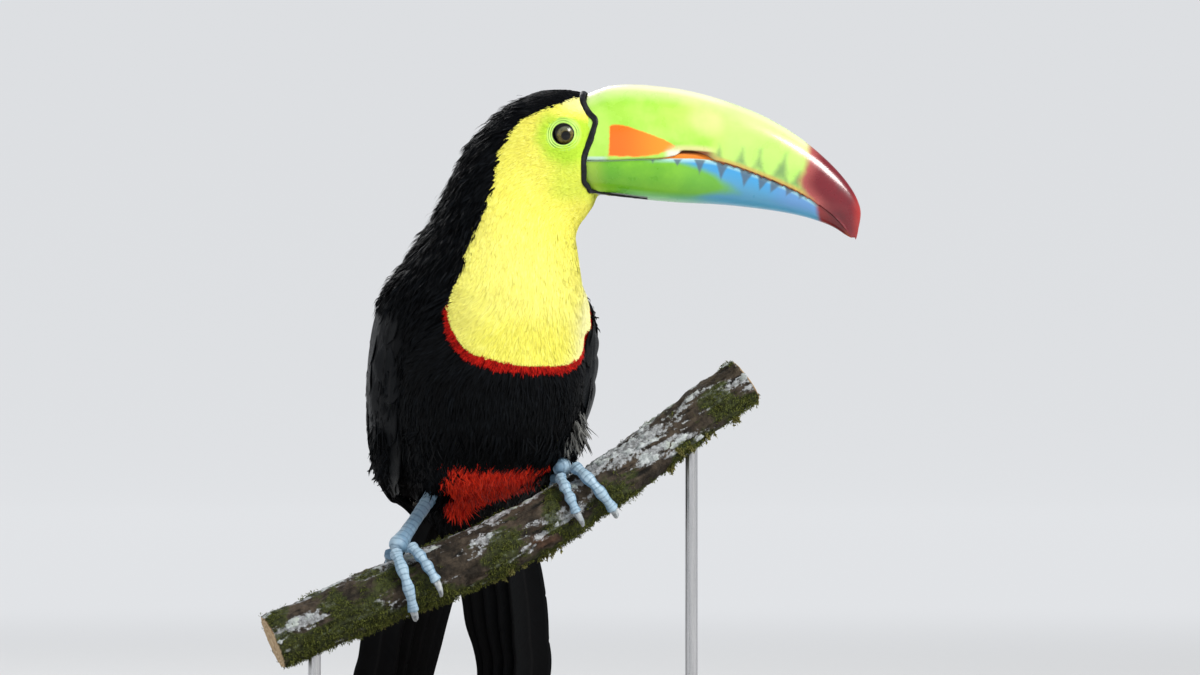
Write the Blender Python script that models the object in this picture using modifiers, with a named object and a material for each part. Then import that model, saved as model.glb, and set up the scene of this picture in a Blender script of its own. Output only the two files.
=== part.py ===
"""A life-size museum model of a keel-billed toucan on a cut length of branch, held over a flat base by two rods.

The script works in millimetres and turns them into metres where it makes a mesh. +Z is up, the origin is the middle of
the base's underside, and +X runs along the perch, the way the bill points. The bird's own plane is given by a heading:
0 faces -Y and 90 faces +X. Heights in the tables below are above the floor, and forward distances are from SPINE, the
upright line that the neck turns about.
"""

import math

import bmesh
import bpy
import numpy as np
from mathutils import Matrix, Vector

MM = 0.001
GAP = 0.3  # between pieces that touch
UP = np.array((0.0, 0.0, 1.0))

# The bird
SPINE = np.array((-4.0, -39.0, 0.0))
BODY_HEADING = 15.0
HEAD_HEADING = 84.0
RING_SIDES = 28

# Where each cross-section of the body meets the sagittal plane, as (forward, height) at the back and at the front,
# then its half width and its heading. They run from the bill's base over the head and down the neck to the tail.
BODY_SECTIONS = (
    ("bill base", (46.0, 358.0), (45.0, 312.0), 18.5, HEAD_HEADING),
    ("brow", (36.0, 360.0), (50.0, 308.5), 21.0, HEAD_HEADING),
    ("crown", (22.0, 359.2), (48.5, 304.5), 22.5, HEAD_HEADING),
    ("hind crown", (6.5, 351.5), (45.5, 300.0), 24.0, HEAD_HEADING),
    ("occiput", (-5.0, 340.5), (42.5, 295.5), 25.0, HEAD_HEADING),
    ("nape", (-13.5, 328.0), (41.0, 290.0), 27.0, 82.0),
    ("lower nape", (-20.5, 313.0), (42.0, 283.0), 30.0, 77.0),
    ("neck", (-27.5, 297.5), (44.0, 271.0), 35.5, 66.0),
    ("neck base", (-38.0, 283.0), (46.0, 257.0), 42.5, 48.0),
    ("shoulders", (-50.0, 267.0), (44.5, 242.0), 45.5, 30.0),
    ("breast", (-59.0, 249.0), (42.0, 227.0), 47.5, 19.0),
    ("mid body", (-67.0, 228.0), (37.0, 211.0), 47.5, BODY_HEADING),
    ("belly", (-74.0, 206.0), (28.0, 196.0), 45.5, BODY_HEADING),
    ("low belly", (-80.0, 186.0), (10.0, 183.5), 39.5, 14.0),
    ("vent", (-86.0, 167.0), (-22.0, 171.5), 30.0, 10.5),
    ("coverts", (-91.0, 153.0), (-52.0, 160.0), 23.0, 7.5),
    ("coverts tip", (-94.5, 142.0), (-76.0, 147.0), 16.0, 6.0),
)
HEAD_END, NECK_END, TRUNK_END = 5.0, 8.4, 13.35  # cuts between head, neck, trunk and coverts, in sections
BODY_END = len(BODY_SECTIONS) - 1.0

# Bill, in the head's plane
BILL_BASE = 46.5
CULMEN = ((46.5, 358.0), (58.0, 361.8), (75.0, 361.9), (100.0, 358.0), (129.5, 347.6), (152.0, 333.6), (168.0, 318.6),
          (176.5, 303.5), (174.4, 288.2))
UPPER_EDGE = ((46.5, 326.4), (58.0, 326.4), (72.0, 327.2), (90.0, 328.8), (108.0, 326.9), (130.0, 319.2),
              (152.0, 309.4), (167.0, 298.6), (173.6, 288.4))
LOWER_EDGE = ((46.5, 325.9), (58.0, 325.9), (72.0, 326.4), (90.0, 326.8), (108.0, 325.9), (130.0, 318.5),
              (151.0, 309.0), (166.0, 298.0), (172.6, 288.9))
KEEL = ((46.5, 312.6), (56.0, 309.8), (72.0, 307.4), (91.0, 305.6), (110.0, 304.6), (130.0, 302.5), (148.0, 299.4),
        (163.0, 294.4), (171.4, 288.6))
BILL_HALF_WIDTHS = (18.0, 18.2, 17.6, 16.2, 13.6, 10.6, 7.4, 4.2, 1.1)
BILL_RINGS, BILL_SIDES = 19, 16

# Eyes
EYE_FORWARD, EYE_HEIGHT, EYE_SIDE, EYE_RADIUS = 37.0, 338.4, 15.9, 6.6

# Folded wings, as sections down the body: height, the middle's place forward and to the bird's left, half width there,
# reach to the front and to the back, the angles round the body (0 front, 180 back) from the wing's front edge to its
# back one, and the thickness. The body trims the inner side.
WING_SECTIONS = (
    (272.0, -4.0, 0.0, 43.0, 40.0, 44.0, 66.0, 112.0, 8.0),
    (262.0, -6.0, 0.0, 49.0, 42.0, 52.0, 56.0, 138.0, 12.0),
    (248.0, -9.0, 0.0, 52.5, 44.0, 57.0, 54.0, 156.0, 14.0),
    (230.0, -14.0, 0.0, 54.5, 45.0, 61.0, 57.0, 168.0, 14.0),
    (208.0, -20.0, 0.0, 54.0, 44.0, 62.0, 65.0, 172.0, 13.0),
    (190.0, -26.0, 0.0, 51.5, 42.0, 62.0, 80.0, 173.0, 12.0),
    (176.0, -34.0, 1.0, 47.5, 38.0, 60.0, 92.0, 172.0, 10.0),
    (169.5, -38.0, 2.5, 43.5, 36.0, 59.0, 104.0, 171.0, 8.0),
    (164.5, -42.0, 4.5, 36.0, 34.0, 58.0, 130.0, 170.0, 5.0),
    (156.0, -50.0, 7.0, 30.0, 30.0, 56.0, 146.0, 168.0, 3.0),
    (146.0, -58.0, 9.5, 25.0, 30.0, 50.0, 152.0, 168.0, 2.6),
    (139.0, -64.0, 10.5, 22.0, 30.0, 46.0, 156.0, 166.0, 2.2),
)
WING_EDGE, WING_ROLL = 8.0, 5.0  # thickness at the edges, and how far they are rolled in
WING_RINGS, WING_ACROSS = 19, 7

# Tail: two fans of feathers that part along the middle
TAIL_ROOT = (-84.0, 160.0)  # forward, height
TAIL_SLOPE = 66.0  # below level
TAIL_SHIFT = 11.0  # to the bird's left
# Distances down from the root, and how far out from the tail's middle the fans' edges are there
TAIL_DOWN = (0.0, 28.0, 46.0, 56.0, 87.0, 113.0, 139.0)
TAIL_OUTER = (24.0, 39.0, 44.0, 46.0, 49.0, 48.5, 45.0)
TAIL_INNER = {"right": (0.5, 0.5, 0.5, 2.2, 9.0, 13.0, 15.0), "left": (0.5, 0.5, 0.5, 3.4, 15.5, 20.0, 22.0)}
TAIL_INNER_LENGTH, TAIL_OUTER_LENGTH = 139.0, 113.0
TAIL_THICKNESS, TAIL_ARCH = 1.8, 5.0
TAIL_FEATHERS = 5  # on each side

# Legs, in the object's own axes: the feathered thigh runs from the hip to the knee, and the bare shank from the heel to
# the foot. The left heel is folded back into the belly's feathers.
LEGS = {
    "right": {"hip": (-30.0, -17.0, 190.0), "knee": (-31.0, -5.0, 169.0), "heel": (-31.0, -5.0, 169.0), "side": -1},
    "left": {"hip": (26.0, -21.0, 207.0), "knee": (37.0, -17.0, 190.0), "heel": (24.0, 1.0, 193.0), "side": 1},
}
FOOT_ALONG = {"right": -41.0, "left": 39.5}  # the foot's place along X on the perch
THIGH_RADII = (8.0, 10.5, 8.5, 5.4)
SHANK_RADIUS, FOOT_RADIUS = 3.4, 4.6
# Each toe: place along the perch, angle round it where it starts and ends (90 is the side that faces -Y), radius
TOES = {
    "2": (-4.0, 24.0, 96.0, 2.8),
    "3": (3.6, 22.0, 128.0, 3.0),
    "4": (4.0, -26.0, -120.0, 2.9),
    "1": (-4.2, -26.0, -84.0, 2.6),
}
TOE_SPLAY = 3.0
CLAW_TURN, CLAW_TIP_RADIUS = 34.0, 0.55

# Perch: its middle line and radius along X
PERCH_X = (-108.0, -86.0, -60.0, -26.0, 13.0, 54.0, 90.0, 118.0)
PERCH_Z = (97.0, 106.5, 117.5, 131.5, 149.0, 174.0, 201.0, 221.5)
PERCH_RADII = (13.8, 14.0, 14.3, 14.6, 14.2, 12.8, 12.4, 12.0)
PERCH_Y, PERCH_TURN = -25.0, 0.2
PERCH_SIDES, PERCH_RINGS = 14, 18

# Stand
BASE_LENGTH, BASE_WIDTH, BASE_HEIGHT, BASE_BEVEL = 260.0, 220.0, 14.0, 2.0
ROD_RADIUS, ROD_X = 3.0, (-88.0, 92.0)

MATERIALS = {
    "plumage_black": ((0.012, 0.013, 0.016), 0.45, 0.0),
    "plumage_yellow": ((0.86, 0.80, 0.12), 0.6, 0.0),
    "plumage_red": ((0.62, 0.02, 0.015), 0.6, 0.0),
    "bill_green": ((0.35, 0.62, 0.08), 0.3, 0.0),
    "bill_blue": ((0.20, 0.52, 0.55), 0.3, 0.0),
    "eye": ((0.03, 0.025, 0.015), 0.1, 0.0),
    "foot_blue": ((0.32, 0.50, 0.66), 0.45, 0.0),
    "claw": ((0.25, 0.26, 0.28), 0.35, 0.0),
    "bark": ((0.20, 0.17, 0.13), 0.9, 0.0),
    "stand_wood": ((0.10, 0.055, 0.03), 0.45, 0.0),
    "stand_steel": ((0.55, 0.55, 0.56), 0.3, 1.0),
}


def smooth(at, knots, values):
    """Values between the knots, on a curve whose slope has no jump."""
    at, knots, values = (np.asarray(x, float) for x in (at, knots, values))
    slopes = np.gradient(values, knots, axis=0)
    i = np.clip(np.searchsorted(knots, at, side="right") - 1, 0, len(knots) - 2)
    step = knots[i + 1] - knots[i]
    t = (at - knots[i]) / step
    if values.ndim > 1:
        t, step = t[..., None], step[..., None]
    return (
        (2 * t**3 - 3 * t**2 + 1) * values[i]
        + (t**3 - 2 * t**2 + t) * step * slopes[i]
        + (3 * t**2 - 2 * t**3) * values[i + 1]
        + (t**3 - t**2) * step * slopes[i + 1]
    )


def along(points, count):
    """The curve through the points as count points, closer together where the points are."""
    return smooth(np.linspace(0, len(points) - 1, count), np.arange(len(points)), points)


def ahead(heading):
    turn = math.radians(heading)
    return np.array((math.sin(turn), -math.cos(turn), 0.0))


def leftward(heading):
    turn = math.radians(heading)
    return np.array((math.cos(turn), math.sin(turn), 0.0))


def on_bird(forward, height, heading, left=0.0):
    """A point from its distance ahead of the spine, its height and its distance to the bird's left."""
    return SPINE + forward * ahead(heading) + left * leftward(heading) + height * UP


def material(name):
    found = bpy.data.materials.get(name)
    if found:
        return found
    colour, roughness, metallic = MATERIALS[name]
    found = bpy.data.materials.new(name)
    found.use_nodes = True
    shader = found.node_tree.nodes["Principled BSDF"]
    shader.inputs["Base Color"].default_value = (*colour, 1.0)
    shader.inputs["Roughness"].default_value = roughness
    shader.inputs["Metallic"].default_value = metallic
    found.diffuse_color = (*colour, 1.0)
    return found


def collection(name):
    found = bpy.data.collections.get(name)
    if not found:
        found = bpy.data.collections.new(name)
        bpy.context.scene.collection.children.link(found)
    return found


def add_object(name, mesh, material_name=None):
    """Links a mesh as a piece of the toucan, or as a cutter where it has no material."""
    obj = bpy.data.objects.new(name, mesh)
    if material_name:
        mesh.materials.clear()
        mesh.materials.append(material(material_name))
        collection("toucan").objects.link(obj)
    else:
        collection("cutters").objects.link(obj)
        obj.hide_render = True
        obj.display_type = "WIRE"
    return obj


def mesh_of(name, points, faces):
    """A mesh from points in millimetres. Its faces are split into triangles, so that a swollen copy splits alike."""
    mesh = bpy.data.meshes.new(name)
    mesh.from_pydata([tuple(MM * x for x in p) for p in points], [], faces)
    build = bmesh.new()
    build.from_mesh(mesh)
    bmesh.ops.recalc_face_normals(build, faces=build.faces)
    bmesh.ops.triangulate(build, faces=build.faces)
    build.to_mesh(mesh)
    build.free()
    mesh.shade_smooth()
    mesh.set_sharp_from_angle(angle=math.radians(40))
    return mesh


def loft(name, rings, material_name=None):
    """A closed solid through rings of equal count, with a flat cap on each end."""
    sides = len(rings[0])
    points = [p for ring in rings for p in ring]
    faces = [list(range(sides)), list(range(len(points) - sides, len(points)))]
    for r in range(len(rings) - 1):
        for k in range(sides):
            n = (k + 1) % sides
            faces.append((r * sides + k, r * sides + n, (r + 1) * sides + n, (r + 1) * sides + k))
    return add_object(name, mesh_of(name, points, faces), material_name)


def tube(name, path, radii, sides, material_name=None):
    """A round tube along a path, as a curve object made into a mesh with its caps welded."""
    curve = bpy.data.curves.new(name, "CURVE")
    curve.dimensions = "3D"
    curve.bevel_depth = MM
    curve.bevel_resolution = sides // 2 - 2
    curve.use_fill_caps = True
    spline = curve.splines.new("POLY")
    spline.points.add(len(path) - 1)
    for point, place, radius in zip(spline.points, path, radii):
        point.co = (*(MM * x for x in place), 1.0)
        point.radius = radius
    guide = bpy.data.objects.new(name + "_curve", curve)
    bpy.context.scene.collection.objects.link(guide)
    graph = bpy.context.evaluated_depsgraph_get()
    mesh = bpy.data.meshes.new_from_object(guide.evaluated_get(graph))
    bpy.data.objects.remove(guide)
    weld = bmesh.new()
    weld.from_mesh(mesh)
    bmesh.ops.remove_doubles(weld, verts=weld.verts, dist=0.01 * MM)
    bmesh.ops.recalc_face_normals(weld, faces=weld.faces)
    weld.to_mesh(mesh)
    weld.free()
    mesh.shade_smooth()
    mesh.set_sharp_from_angle(angle=math.radians(50))
    return add_object(name, mesh, material_name)


def swollen(obj, by, name):
    """A cutter: a copy of a solid with each of its points moved out."""
    mesh = obj.data.copy()
    shape = bmesh.new()
    shape.from_mesh(mesh)
    bmesh.ops.recalc_face_normals(shape, faces=shape.faces)
    shape.normal_update()
    moves = [(v, v.normal * (by * MM)) for v in shape.verts]
    for vertex, move in moves:
        vertex.co += move
    shape.to_mesh(mesh)
    shape.free()
    return add_object(name, mesh)


def cut(obj, cutter):
    modifier = obj.modifiers.new("clear_of_" + cutter.name, "BOOLEAN")
    modifier.operation = "DIFFERENCE"
    modifier.solver = "EXACT"
    modifier.object = cutter


def body_ring(place):
    """One cross-section of the body, place being a number of sections from the bill's base."""
    knots = np.arange(len(BODY_SECTIONS))
    back, front, half_width, heading = (
        smooth(place, knots, [section[i] for section in BODY_SECTIONS]) for i in (1, 2, 3, 4)
    )
    middle, reach = (back + front) / 2, (back - front) / 2
    turns = np.linspace(0, 2 * math.pi, RING_SIDES, endpoint=False)
    return [
        on_bird(*(middle + reach * math.cos(a)), float(heading), float(half_width) * math.sin(a)) for a in turns
    ]


def body_part(name, start, end, material_name=None):
    """The body between two places. It starts a gap past its first ring, so that it clears the part before it."""
    cuts = {HEAD_END, NECK_END, TRUNK_END, *np.arange(0, BODY_END + 0.1, 0.5)}
    rings = [body_ring(p) for p in sorted(cuts) if start <= p <= end]
    if start > 0:
        first, second = np.mean(rings[0], axis=0), np.mean(rings[1], axis=0)
        way = (second - first) / np.linalg.norm(second - first)
        rings[0] = [p + GAP * way for p in rings[0]]
    return loft(name, rings, material_name)


def bill_ring(top, bottom, half_width, upper):
    """A section of one half of the bill: a keeled arch over a flat palate, or a rounded keel under a flat edge."""
    ridge, edge = (top, bottom) if upper else (bottom, top)
    fullness = 0.86 if upper else 0.8
    sharpness = 1.15 if upper else 1.0
    ring = []
    for a in np.linspace(-8.0, 188.0, BILL_SIDES):
        a = math.radians(a)
        rise = max(0.0, math.sin(a)) ** sharpness
        side = math.copysign(abs(math.cos(a)) ** fullness, math.cos(a))
        ring.append(on_bird(*(edge + (ridge - edge) * rise), HEAD_HEADING, half_width * side))
    return ring


def bill_half(name, top_line, bottom_line, upper, material_name):
    tops = along(np.array(top_line), BILL_RINGS)
    bottoms = along(np.array(bottom_line), BILL_RINGS)
    widths = along(np.array(BILL_HALF_WIDTHS), BILL_RINGS) * (1.0 if upper else 0.95)
    rings = [bill_ring(t, b, w, upper) for t, b, w in zip(tops, bottoms, widths)]
    return loft(name, rings, material_name)


def eye(name, side):
    """An eyeball, turned so that its poles point out of the head."""
    shape = bmesh.new()
    bmesh.ops.create_uvsphere(shape, u_segments=12, v_segments=8, radius=EYE_RADIUS * MM)
    mesh = bpy.data.meshes.new(name)
    shape.to_mesh(mesh)
    shape.free()
    mesh.shade_smooth()
    out = Vector(leftward(HEAD_HEADING) * side)
    centre = on_bird(EYE_FORWARD, EYE_HEIGHT, HEAD_HEADING, EYE_SIDE * side)
    mesh.transform(Matrix.Translation(Vector(centre) * MM) @ out.to_track_quat("Z", "Y").to_matrix().to_4x4())
    return add_object(name, mesh, "eye")


def wing(name, side):
    """A folded wing: a curved plate round the side of the body, thick in the middle and thin at its edges."""
    table = np.array(WING_SECTIONS)
    rings = []
    for row in along(table, WING_RINGS):
        height, middle, shift, half_width, front, back, start, end, thickness = row
        share = np.linspace(0, 1, WING_ACROSS)
        edge, roll = min(WING_EDGE, 0.6 * thickness), min(WING_ROLL, 0.35 * thickness)
        dome = np.sin(math.pi * share)
        sunk = roll * (1 - dome**0.5)
        thick = edge + (thickness - edge) * dome**0.6
        outer, inner = [], []
        for s, top, depth in zip(share, sunk, thick):
            a = math.radians(start + (end - start) * s)
            reach = front if math.cos(a) > 0 else back
            for skin, off in ((outer, top), (inner, top + depth)):
                forward = middle + (reach - off) * math.cos(a)
                left = shift + side * (half_width - off) * math.sin(a)
                skin.append(on_bird(forward, height, BODY_HEADING, left))
        rings.append(outer + inner[::-1])
    return loft(name, rings, "plumage_black")


def tail_half(name, label, side):
    """One fan of the tail: from the root to the feathers' rounded tips, as an arched plate."""
    slope = math.radians(TAIL_SLOPE)
    down = -math.cos(slope) * ahead(BODY_HEADING) - math.sin(slope) * UP
    lift = math.sin(slope) * -ahead(BODY_HEADING) + math.cos(slope) * UP
    across = leftward(BODY_HEADING)
    root = on_bird(*TAIL_ROOT, BODY_HEADING, TAIL_SHIFT)
    columns, rows = TAIL_FEATHERS * 4 + 1, 7
    points = []
    for share in np.linspace(0, 1, columns):
        feather = share * TAIL_FEATHERS
        bulge = math.sin(math.pi * (feather % 1.0 if share < 1 else 1.0))
        length = TAIL_INNER_LENGTH + (TAIL_OUTER_LENGTH - TAIL_INNER_LENGTH) * share**1.5 - 7.0 * (1.0 - bulge)
        length -= 9.0 * (share > 0.97) + 5.0 * (share < 0.03)
        for step in np.linspace(0, 1, rows):
            reach = length * step
            inner, outer = smooth(reach, TAIL_DOWN, TAIL_INNER[label]), smooth(reach, TAIL_DOWN, TAIL_OUTER)
            off = float(inner + (outer - inner) * share)
            arch = TAIL_ARCH * (1.0 - (off / 50.0) ** 2)
            points.append(root + reach * down + side * off * across + arch * lift)
    faces = [
        (c * rows + r, c * rows + r + 1, (c + 1) * rows + r + 1, (c + 1) * rows + r)
        for c in range(columns - 1)
        for r in range(rows - 1)
    ]
    plate = add_object(name, mesh_of(name, points, faces), "plumage_black")
    solid = plate.modifiers.new("thickness", "SOLIDIFY")
    solid.thickness = TAIL_THICKNESS * MM
    solid.offset = 0.0
    return plate


def perch_at(x):
    """The perch's middle, direction and radius at a place along X, and the two directions across it: up and to -Y."""
    step = 0.5
    middle, after = (np.array((p, PERCH_Y + PERCH_TURN * p, float(smooth(p, PERCH_X, PERCH_Z)))) for p in (x, x + step))
    way = (after - middle) / np.linalg.norm(after - middle)
    front = np.cross(UP, way) * -1.0
    front /= np.linalg.norm(front)
    top = np.cross(front, way)
    if top[2] < 0:
        top = -top
    return middle, way, float(smooth(x, PERCH_X, PERCH_RADII)), top, front


def perch():
    places = [perch_at(x) for x in np.linspace(PERCH_X[0], PERCH_X[-1], PERCH_RINGS)]
    return tube("perch", [p[0] for p in places], [p[2] for p in places], PERCH_SIDES, "bark")


def thigh(name, leg):
    hip, knee = np.array(leg["hip"]), np.array(leg["knee"])
    steps = np.linspace(-0.25, 1, 8)
    radii = smooth(steps, (-0.25, 0.2, 0.65, 1.0), THIGH_RADII)
    return tube(name, [hip + (knee - hip) * s for s in steps], radii, 14, "plumage_black")


def foot_centre(side):
    middle, _, radius, top, _ = perch_at(FOOT_ALONG[side])
    return middle + top * (radius + FOOT_RADIUS + GAP)


def shank(name, side):
    """The bare shank from the heel to the ball of the foot, with a knuckle at each end."""
    heel, foot = np.array(LEGS[side]["heel"]), foot_centre(side)
    steps = np.array((-0.1, 0.0, 0.12, 0.3, 0.6, 0.8, 0.92, 1.0, 1.06))
    radii = [SHANK_RADIUS * r for r in (0.8, 1.25, 1.2, 1.0, 0.95, 1.02, 1.25, 1.3, 0.9)]
    return tube(name, [heel + (foot - heel) * s for s in steps], radii, 10, "foot_blue")


def round_perch(side, place, angle, radius):
    """A point on the perch's bark, lifted by a radius: place along it from the foot, angle round it from the top."""
    middle, way, perch_radius, top, front = perch_at(FOOT_ALONG[side] + place)
    turn = math.radians(angle)
    return middle + (perch_radius + radius + GAP) * (math.cos(turn) * top + math.sin(turn) * front)


def toe(side, number):
    """A toe that curls over the perch, with a swelling at each joint, and its claw."""
    outward = LEGS[side]["side"]
    place, start, end, radius = TOES[number]
    steps = np.linspace(0, 1, 9)
    path = [
        round_perch(side, outward * (place + TOE_SPLAY * s * math.copysign(1, place)), start + (end - start) * s, radius)
        for s in steps
    ]
    radii = [radius * (1.0 + 0.08 * math.cos(6 * math.pi * s) - 0.16 * s) for s in steps]
    digit = tube(f"toe_{side}_{number}", path, radii, 8, "foot_blue")

    turn = math.copysign(CLAW_TURN, end)
    last = outward * (place + TOE_SPLAY * math.copysign(1, place))
    claw_path, claw_radii = [], []
    base = radius * 0.72
    for s in np.linspace(0, 1, 6):
        lift = base + (0.9 - base) * s + 3.4 * math.sin(math.pi * s) ** 0.8 * (1 - 0.35 * s)
        claw_path.append(round_perch(side, last, end + turn * s, lift))
        claw_radii.append(base + (CLAW_TIP_RADIUS - base) * s)
    claw = tube(f"claw_{side}_{number}", claw_path, claw_radii, 6, "claw")
    cut(claw, swollen(digit, GAP, f"toe_clearance_{side}_{number}"))
    return digit


def stand():
    shape = bmesh.new()
    bmesh.ops.create_cube(shape, size=1.0)
    bmesh.ops.scale(shape, vec=Vector((BASE_LENGTH, BASE_WIDTH, BASE_HEIGHT)) * MM, verts=shape.verts)
    bmesh.ops.translate(shape, vec=(0, 0, BASE_HEIGHT / 2 * MM), verts=shape.verts)
    mesh = bpy.data.meshes.new("stand_base")
    shape.to_mesh(mesh)
    shape.free()
    base = add_object("stand_base", mesh, "stand_wood")
    bevel = base.modifiers.new("edges", "BEVEL")
    bevel.width = BASE_BEVEL * MM
    bevel.segments = 2
    rods = []
    for number, x in enumerate(ROD_X, 1):
        middle = perch_at(x)[0]
        path = [(x, middle[1], BASE_HEIGHT + GAP), (x, middle[1], middle[2])]
        rods.append(tube(f"stand_rod_{number}", path, (ROD_RADIUS, ROD_RADIUS), 16, "stand_steel"))
    return rods


def main():
    for obj in list(bpy.data.objects):
        bpy.data.objects.remove(obj, do_unlink=True)

    head = body_part("head", 0.0, HEAD_END, "plumage_yellow")
    body_part("neck", HEAD_END, NECK_END, "plumage_yellow")
    body_part("trunk", NECK_END, TRUNK_END, "plumage_black")
    body_part("tail_coverts", TRUNK_END, BODY_END, "plumage_red")
    whole = body_part("whole_body", 0.0, BODY_END)
    clearance = swollen(whole, GAP, "body_clearance")
    bpy.data.objects.remove(whole)

    bill_half("bill_upper", CULMEN, UPPER_EDGE, True, "bill_green")
    lower = bill_half("bill_lower", LOWER_EDGE, KEEL, False, "bill_blue")
    cut(lower, clearance)
    for label, side in (("right", -1), ("left", 1)):
        cut(head, swollen(eye(f"eye_{label}", side), GAP, f"eye_clearance_{label}"))
        folded = wing(f"wing_{label}", side)
        cut(folded, clearance)
        fan = tail_half(f"tail_{label}", label, side)
        cut(fan, clearance)
        cut(fan, swollen(folded, GAP, f"wing_clearance_{label}"))

    branch = perch()
    branch_clearance = swollen(branch, GAP, "perch_clearance")
    for side, leg in LEGS.items():
        upper_leg = thigh(f"thigh_{side}", leg)
        lower_leg = shank(f"shank_{side}", side)
        for piece in (upper_leg, lower_leg):
            cut(piece, clearance)
            cut(piece, bpy.data.objects[f"wing_clearance_{side}"])
        cut(lower_leg, swollen(upper_leg, GAP, f"thigh_clearance_{side}"))
        shank_clearance = swollen(lower_leg, GAP, f"shank_clearance_{side}")
        for number in TOES:
            cut(toe(side, number), shank_clearance)
    for rod in stand():
        cut(rod, branch_clearance)


main()
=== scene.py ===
"""The looks of a life-size museum model of a keel-billed toucan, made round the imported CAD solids.

Lengths are in millimetres and become metres where a mesh is made. Places come from the solids: the body's
own coordinates are the place along it, from the bill's base (0) over the head and neck to the tail coverts'
tip (4), and the turn round it, from the throat and belly (0) to the crown and back (180 degrees), positive
on the bird's left.
"""

import math

import bpy
import numpy as np
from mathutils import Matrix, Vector, noise
from mathutils.bvhtree import BVHTree
from mathutils.geometry import convex_hull_2d


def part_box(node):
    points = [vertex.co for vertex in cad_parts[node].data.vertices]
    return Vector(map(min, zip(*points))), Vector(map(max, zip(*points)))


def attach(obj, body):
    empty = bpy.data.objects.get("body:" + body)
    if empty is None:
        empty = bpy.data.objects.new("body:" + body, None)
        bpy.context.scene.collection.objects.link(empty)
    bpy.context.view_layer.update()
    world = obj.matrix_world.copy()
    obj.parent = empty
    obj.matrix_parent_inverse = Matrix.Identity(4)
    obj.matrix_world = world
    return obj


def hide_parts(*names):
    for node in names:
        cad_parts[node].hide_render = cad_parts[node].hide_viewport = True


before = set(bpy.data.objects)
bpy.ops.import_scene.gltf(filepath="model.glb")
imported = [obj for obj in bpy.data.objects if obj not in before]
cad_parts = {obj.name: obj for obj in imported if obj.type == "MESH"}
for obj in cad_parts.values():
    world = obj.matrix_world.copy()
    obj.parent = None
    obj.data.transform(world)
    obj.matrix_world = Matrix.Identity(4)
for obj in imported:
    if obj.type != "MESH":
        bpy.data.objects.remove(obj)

MM = 0.001
UP = np.array((0.0, 0.0, 1.0))
SIDES = (("right", -1), ("left", 1))
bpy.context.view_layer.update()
draw = np.random.default_rng(7)

# ---------------------------------------------------------------- small tools


def unit(vectors):
    return vectors / np.maximum(np.linalg.norm(vectors, axis=-1, keepdims=True), 1e-9)


def dot(one, two):
    """Each row of one times the same row of two."""
    return np.einsum("ij,ij->i", one, two)


def full_turn(count):
    return np.linspace(0, 2 * math.pi, count, endpoint=False)


def ways_round(turns, one, two):
    """Directions at turns from one towards two."""
    return np.cos(turns)[:, None] * one + np.sin(turns)[:, None] * two


def run_along(line):
    """The distance along a line at each of its points."""
    return np.concatenate([[0], np.cumsum(np.linalg.norm(np.diff(line, axis=0), axis=1))])


def smooth(at, knots, values):
    """Values between the knots, on a curve whose slope has no jump. It stays level past the ends."""
    knots, values = np.asarray(knots, float), np.asarray(values, float)
    at = np.clip(at, knots[0], knots[-1])
    slopes = np.gradient(values, knots, axis=0)
    i = np.clip(np.searchsorted(knots, at, side="right") - 1, 0, len(knots) - 2)
    step = knots[i + 1] - knots[i]
    t = (at - knots[i]) / step
    if values.ndim > 1:
        t, step = t[..., None], step[..., None]
    return (
        (2 * t**3 - 3 * t**2 + 1) * values[i]
        + (t**3 - 2 * t**2 + t) * step * slopes[i]
        + (3 * t**2 - 2 * t**3) * values[i + 1]
        + (t**3 - t**2) * step * slopes[i + 1]
    )


def ease(low, high, value):
    """0 below low, 1 above high, and a soft step between them."""
    t = np.clip((value - low) / (high - low), 0.0, 1.0)
    return t * t * (3 - 2 * t)


def blurred(values, width, axis=0):
    """A running average with a bell's weights, width in samples. The ends keep their values."""
    reach = max(1, int(3 * width))
    weights = np.exp(-0.5 * (np.arange(-reach, reach + 1) / width) ** 2)
    weights /= weights.sum()
    moved = np.moveaxis(np.asarray(values, float), axis, 0)
    head = 2 * moved[:1] - moved[1 : reach + 1][::-1]
    tail = 2 * moved[-1:] - moved[-reach - 1 : -1][::-1]
    padded = np.concatenate([head, moved, tail])
    found = sum(w * padded[i : i + len(moved)] for i, w in enumerate(weights))
    return np.moveaxis(found, 0, axis)


def lumps(points, scale, seed=0.0):
    """Smooth noise from -1 to 1 at points in millimetres, its lumps about scale across."""
    shift = Vector((seed * 17.3, seed * 5.1, seed * -9.7))
    return np.array([noise.noise(Vector(p) / scale + shift) for p in np.asarray(points, float)])


def read_mesh(mesh):
    """A mesh's points in millimetres, and its triangles."""
    mesh.calc_loop_triangles()
    points = np.empty(len(mesh.vertices) * 3, np.float32)
    mesh.vertices.foreach_get("co", points)
    faces = np.empty(len(mesh.loop_triangles) * 3, np.int32)
    mesh.loop_triangles.foreach_get("vertices", faces)
    return points.reshape(-1, 3).astype(float) / MM, faces.reshape(-1, 3)


def solid(name):
    """Corner points of a CAD node in millimetres, each once, and its triangles."""
    points, faces = read_mesh(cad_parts[name].data)
    _, first, index = np.unique(np.round(points, 2), axis=0, return_index=True, return_inverse=True)
    faces = index.reshape(-1)[faces]
    whole = (faces[:, 0] != faces[:, 1]) & (faces[:, 1] != faces[:, 2]) & (faces[:, 0] != faces[:, 2])
    return points[first], faces[whole]


def middle(name):
    """The middle of a CAD node's box, in millimetres."""
    low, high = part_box(name)
    return (np.array(low) + np.array(high)) / 2 / MM


def face_normals(points, faces):
    a, b, c = (points[faces[:, i]] for i in range(3))
    return np.cross(b - a, c - a)


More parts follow.
